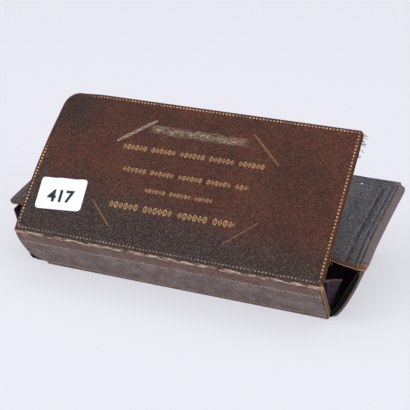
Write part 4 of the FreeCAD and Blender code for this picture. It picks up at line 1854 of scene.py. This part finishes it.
class CASE_OT_frayed_ends(bpy.types.Operator):
    """Silk threads fraying from the cover's edge, and torn leather at the flap's lip"""

    bl_idname = "case.frayed_ends"
    bl_label = "Frayed ends"

    def execute(self, context):
        chance = random.Random(11)
        right = COVER_HIGH_X / MM
        thread = ribbed("frayed_silk", tone(104, 42, 78))
        starts = [on_cover(right + 0.2, place, -3.2 + chance.uniform(-0.3, 0.3))
                  for place in (100.5, 99.5, 98.5, 97, 96, 95, 93.5, 90, 87, 84.5)]
        piece = tuft("cover_threads", starts, Vector((1, 0.05, -0.6)), 6.5 * MM, 0.17 * MM, chance, 0.5)
        piece.data.materials.append(thread)
        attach(piece, "cover")

        torn = rubbed_leather("torn_leather", tone(150, 112, 80))
        lip = FLAP_HINGE + direction(FLAP_ANGLE) * FLAP_REACH
        starts = [lip + Vector((place * MM, 0.6 * MM, -1.2 * MM)) for place in (93, 94.5, 96, 97, 98)]
        piece = tuft("lip_shreds", starts, Vector((0.25, -0.1, -1)), 5.5 * MM, 0.28 * MM, chance, 0.5)
        piece.data.materials.append(torn)
        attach(piece, "inner_flap")

        corner = lip + Vector((FLAP_HALF - lip.x - 3 * MM, 0.2 * MM, 1.2 * MM - RIGHT_DROOP * 0.8))
        starts = [corner + Vector((chance.uniform(-2.5, 2.4), chance.uniform(-0.4, 2.0),
                                   chance.uniform(-1.5, 2.6))) * MM for _ in range(18)]
        piece = tuft("corner_shreds", starts, Vector((0.1, -0.5, -0.6)), 3.4 * MM, 0.26 * MM,
                     chance, 0.9)
        piece.data.materials.append(torn)
        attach(piece, "inner_flap")
        return {"FINISHED"}


class CASE_OT_frame_finish(bpy.types.Operator):
    """Give the frame's own nodes their board, leather and silk"""

    bl_idname = "case.frame_finish"
    bl_label = "Frame finish"

    def execute(self, context):
        board = pasteboard()
        dark = base_leather()
        silk = watered_silk("lining_silk", colours().silk, 0.8)
        for name, node in frame["nodes"].items():
            if name.endswith("_board") and name != "base_board":
                finish = board
            elif name.endswith(("_leather", "_fold", "_lip", "_board")):
                finish = dark
            elif name == "paper_label":
                finish = paper()
            else:
                finish = silk
            node.data.materials.clear()
            node.data.materials.append(finish)
        return {"FINISHED"}


# How much of the floor's own colour the camera sees in place of its lit colour
FLOOR_GLOW = 0.6
CAMERA_PLACE = (0.2647, -0.6336, 0.34515)
CAMERA_RIGHT = (0.9232, 0.3843, 0.0)
CAMERA_UP = (-0.1577, 0.3784, 0.9119)
LAMP_TARGET = (0, -0.02, 0.04)


class CASE_OT_stage(bpy.types.Operator):
    """Pale floor, soft lamps and the camera"""

    bl_idname = "case.stage"
    bl_label = "Stage"

    def execute(self, context):
        stage = context.scene.case_stage
        floor = flat_plane("floor", (-9.0, -9.0), (9.0, 4.0))
        edit(floor)
        pick(floor, "EDGE", lambda edge: all(vert.co.y > 3.9 for vert in edge.verts))
        bpy.ops.mesh.extrude_region_move(TRANSFORM_OT_translate={"value": (0, 0.6, 0.35)})
        bpy.ops.mesh.extrude_region_move(TRANSFORM_OT_translate={"value": (0, 0.2, 2.4)})
        bpy.ops.object.mode_set(mode="OBJECT")
        smooth(floor, 80)
        shader = Shader("pale_floor")
        cloud = shader.noise(shader.place_mm(), 0.002, 2.0, 0.5)
        tint = shader.mix(cloud, stage.floor, tuple(channel * 0.97 for channel in stage.floor))
        shader.close(tint, 0.9, Specular_IOR_Level=0.1)
        glow = shader.node("ShaderNodeEmission")
        shader.feed(glow.inputs["Color"], stage.floor)
        seen = shader.times(shader.rays_to_eye(), FLOOR_GLOW)
        shader.mix_light(seen, shader.surface.outputs[0], glow.outputs[0], "Material Output")
        floor.data.materials.append(shader.material)

        world = context.scene.world or bpy.data.worlds.new("studio")
        context.scene.world = world
        world.use_nodes = True
        sky = Nodes(world.node_tree)
        light = sky.tree.nodes["Background"]
        sky.feed(light.inputs["Color"], (0.95, 0.96, 1.0))
        sky.feed(light.inputs["Strength"], stage.sky)
        seen = sky.node("ShaderNodeBackground")
        sky.feed(seen.inputs["Color"], stage.floor)
        sky.mix_light(sky.rays_to_eye(), light.outputs[0], seen.outputs[0], "World Output")

        for name, place, power, size in (
                ("key_lamp", (-0.85, -0.95, 0.95), stage.key, 0.7),
                ("fill_lamp", (1.05, -0.75, 0.9), stage.fill, 0.8),
                ("top_lamp", (0.1, 0.5, 1.4), stage.key * 0.6, 1.0)):
            clear_selection()
            bpy.ops.object.light_add(type="AREA", location=place)
            lamp = context.object
            lamp.name = name
            lamp.data.energy = power
            lamp.data.size = size
            ray = Vector(LAMP_TARGET) - lamp.location
            lamp.rotation_euler = ray.to_track_quat("-Z", "Y").to_euler()

        bpy.ops.object.camera_add(location=CAMERA_PLACE)
        camera = context.object
        camera.name = "photo_camera"
        camera.data.lens = stage.lens
        camera.data.sensor_width = 36
        camera.data.sensor_fit = "HORIZONTAL"
        camera.data.clip_start = 0.01
        right = Vector(CAMERA_RIGHT)
        up = Vector(CAMERA_UP)
        turn = Matrix((right, up, right.cross(up))).transposed()
        camera.rotation_euler = turn.to_euler()
        context.scene.camera = camera
        context.scene.view_settings.view_transform = "Standard"
        return {"FINISHED"}


class CASE_PT_sidebar(bpy.types.Panel):
    """Sidebar with the case's pieces and settings"""

    bl_idname = "CASE_PT_sidebar"
    bl_label = "Instrument case"
    bl_space_type = "VIEW_3D"
    bl_region_type = "UI"
    bl_category = "Case"

    def draw(self, context):
        for group in (context.scene.case_sizes, context.scene.case_colours, context.scene.case_stage):
            box = self.layout.box()
            for key in group.__annotations__:
                box.prop(group, key)
        for operator in OPERATORS:
            self.layout.operator(operator.bl_idname)


OPERATORS = (CASE_OT_frame_finish, CASE_OT_front_wrap, CASE_OT_slit_lips, CASE_OT_flap_wrap,
             CASE_OT_end_walls, CASE_OT_hinges, CASE_OT_number_label, CASE_OT_silk_bed,
             CASE_OT_loop_ribbons, CASE_OT_front_ledge, CASE_OT_frayed_ends, CASE_OT_stage)
GROUPS = (CaseSizes, CaseColours, CaseStage)


def register():
    for item in GROUPS + OPERATORS + (CASE_PT_sidebar,):
        bpy.utils.register_class(item)
    bpy.types.Scene.case_sizes = bpy.props.PointerProperty(type=CaseSizes)
    bpy.types.Scene.case_colours = bpy.props.PointerProperty(type=CaseColours)
    bpy.types.Scene.case_stage = bpy.props.PointerProperty(type=CaseStage)


def unregister():
    del bpy.types.Scene.case_stage
    del bpy.types.Scene.case_colours
    del bpy.types.Scene.case_sizes
    for item in reversed(GROUPS + OPERATORS + (CASE_PT_sidebar,)):
        bpy.utils.unregister_class(item)


def main():
    register()
    bpy.ops.case.frame_finish()
    bpy.ops.case.front_wrap()
    bpy.ops.case.slit_lips()
    bpy.ops.case.flap_wrap()
    bpy.ops.case.end_walls()
    bpy.ops.case.hinges()
    bpy.ops.case.number_label()
    bpy.ops.case.silk_bed()
    bpy.ops.case.loop_ribbons()
    bpy.ops.case.front_ledge()
    bpy.ops.case.frayed_ends()
    bpy.ops.case.stage()


if __name__ == "__main__":
    main()
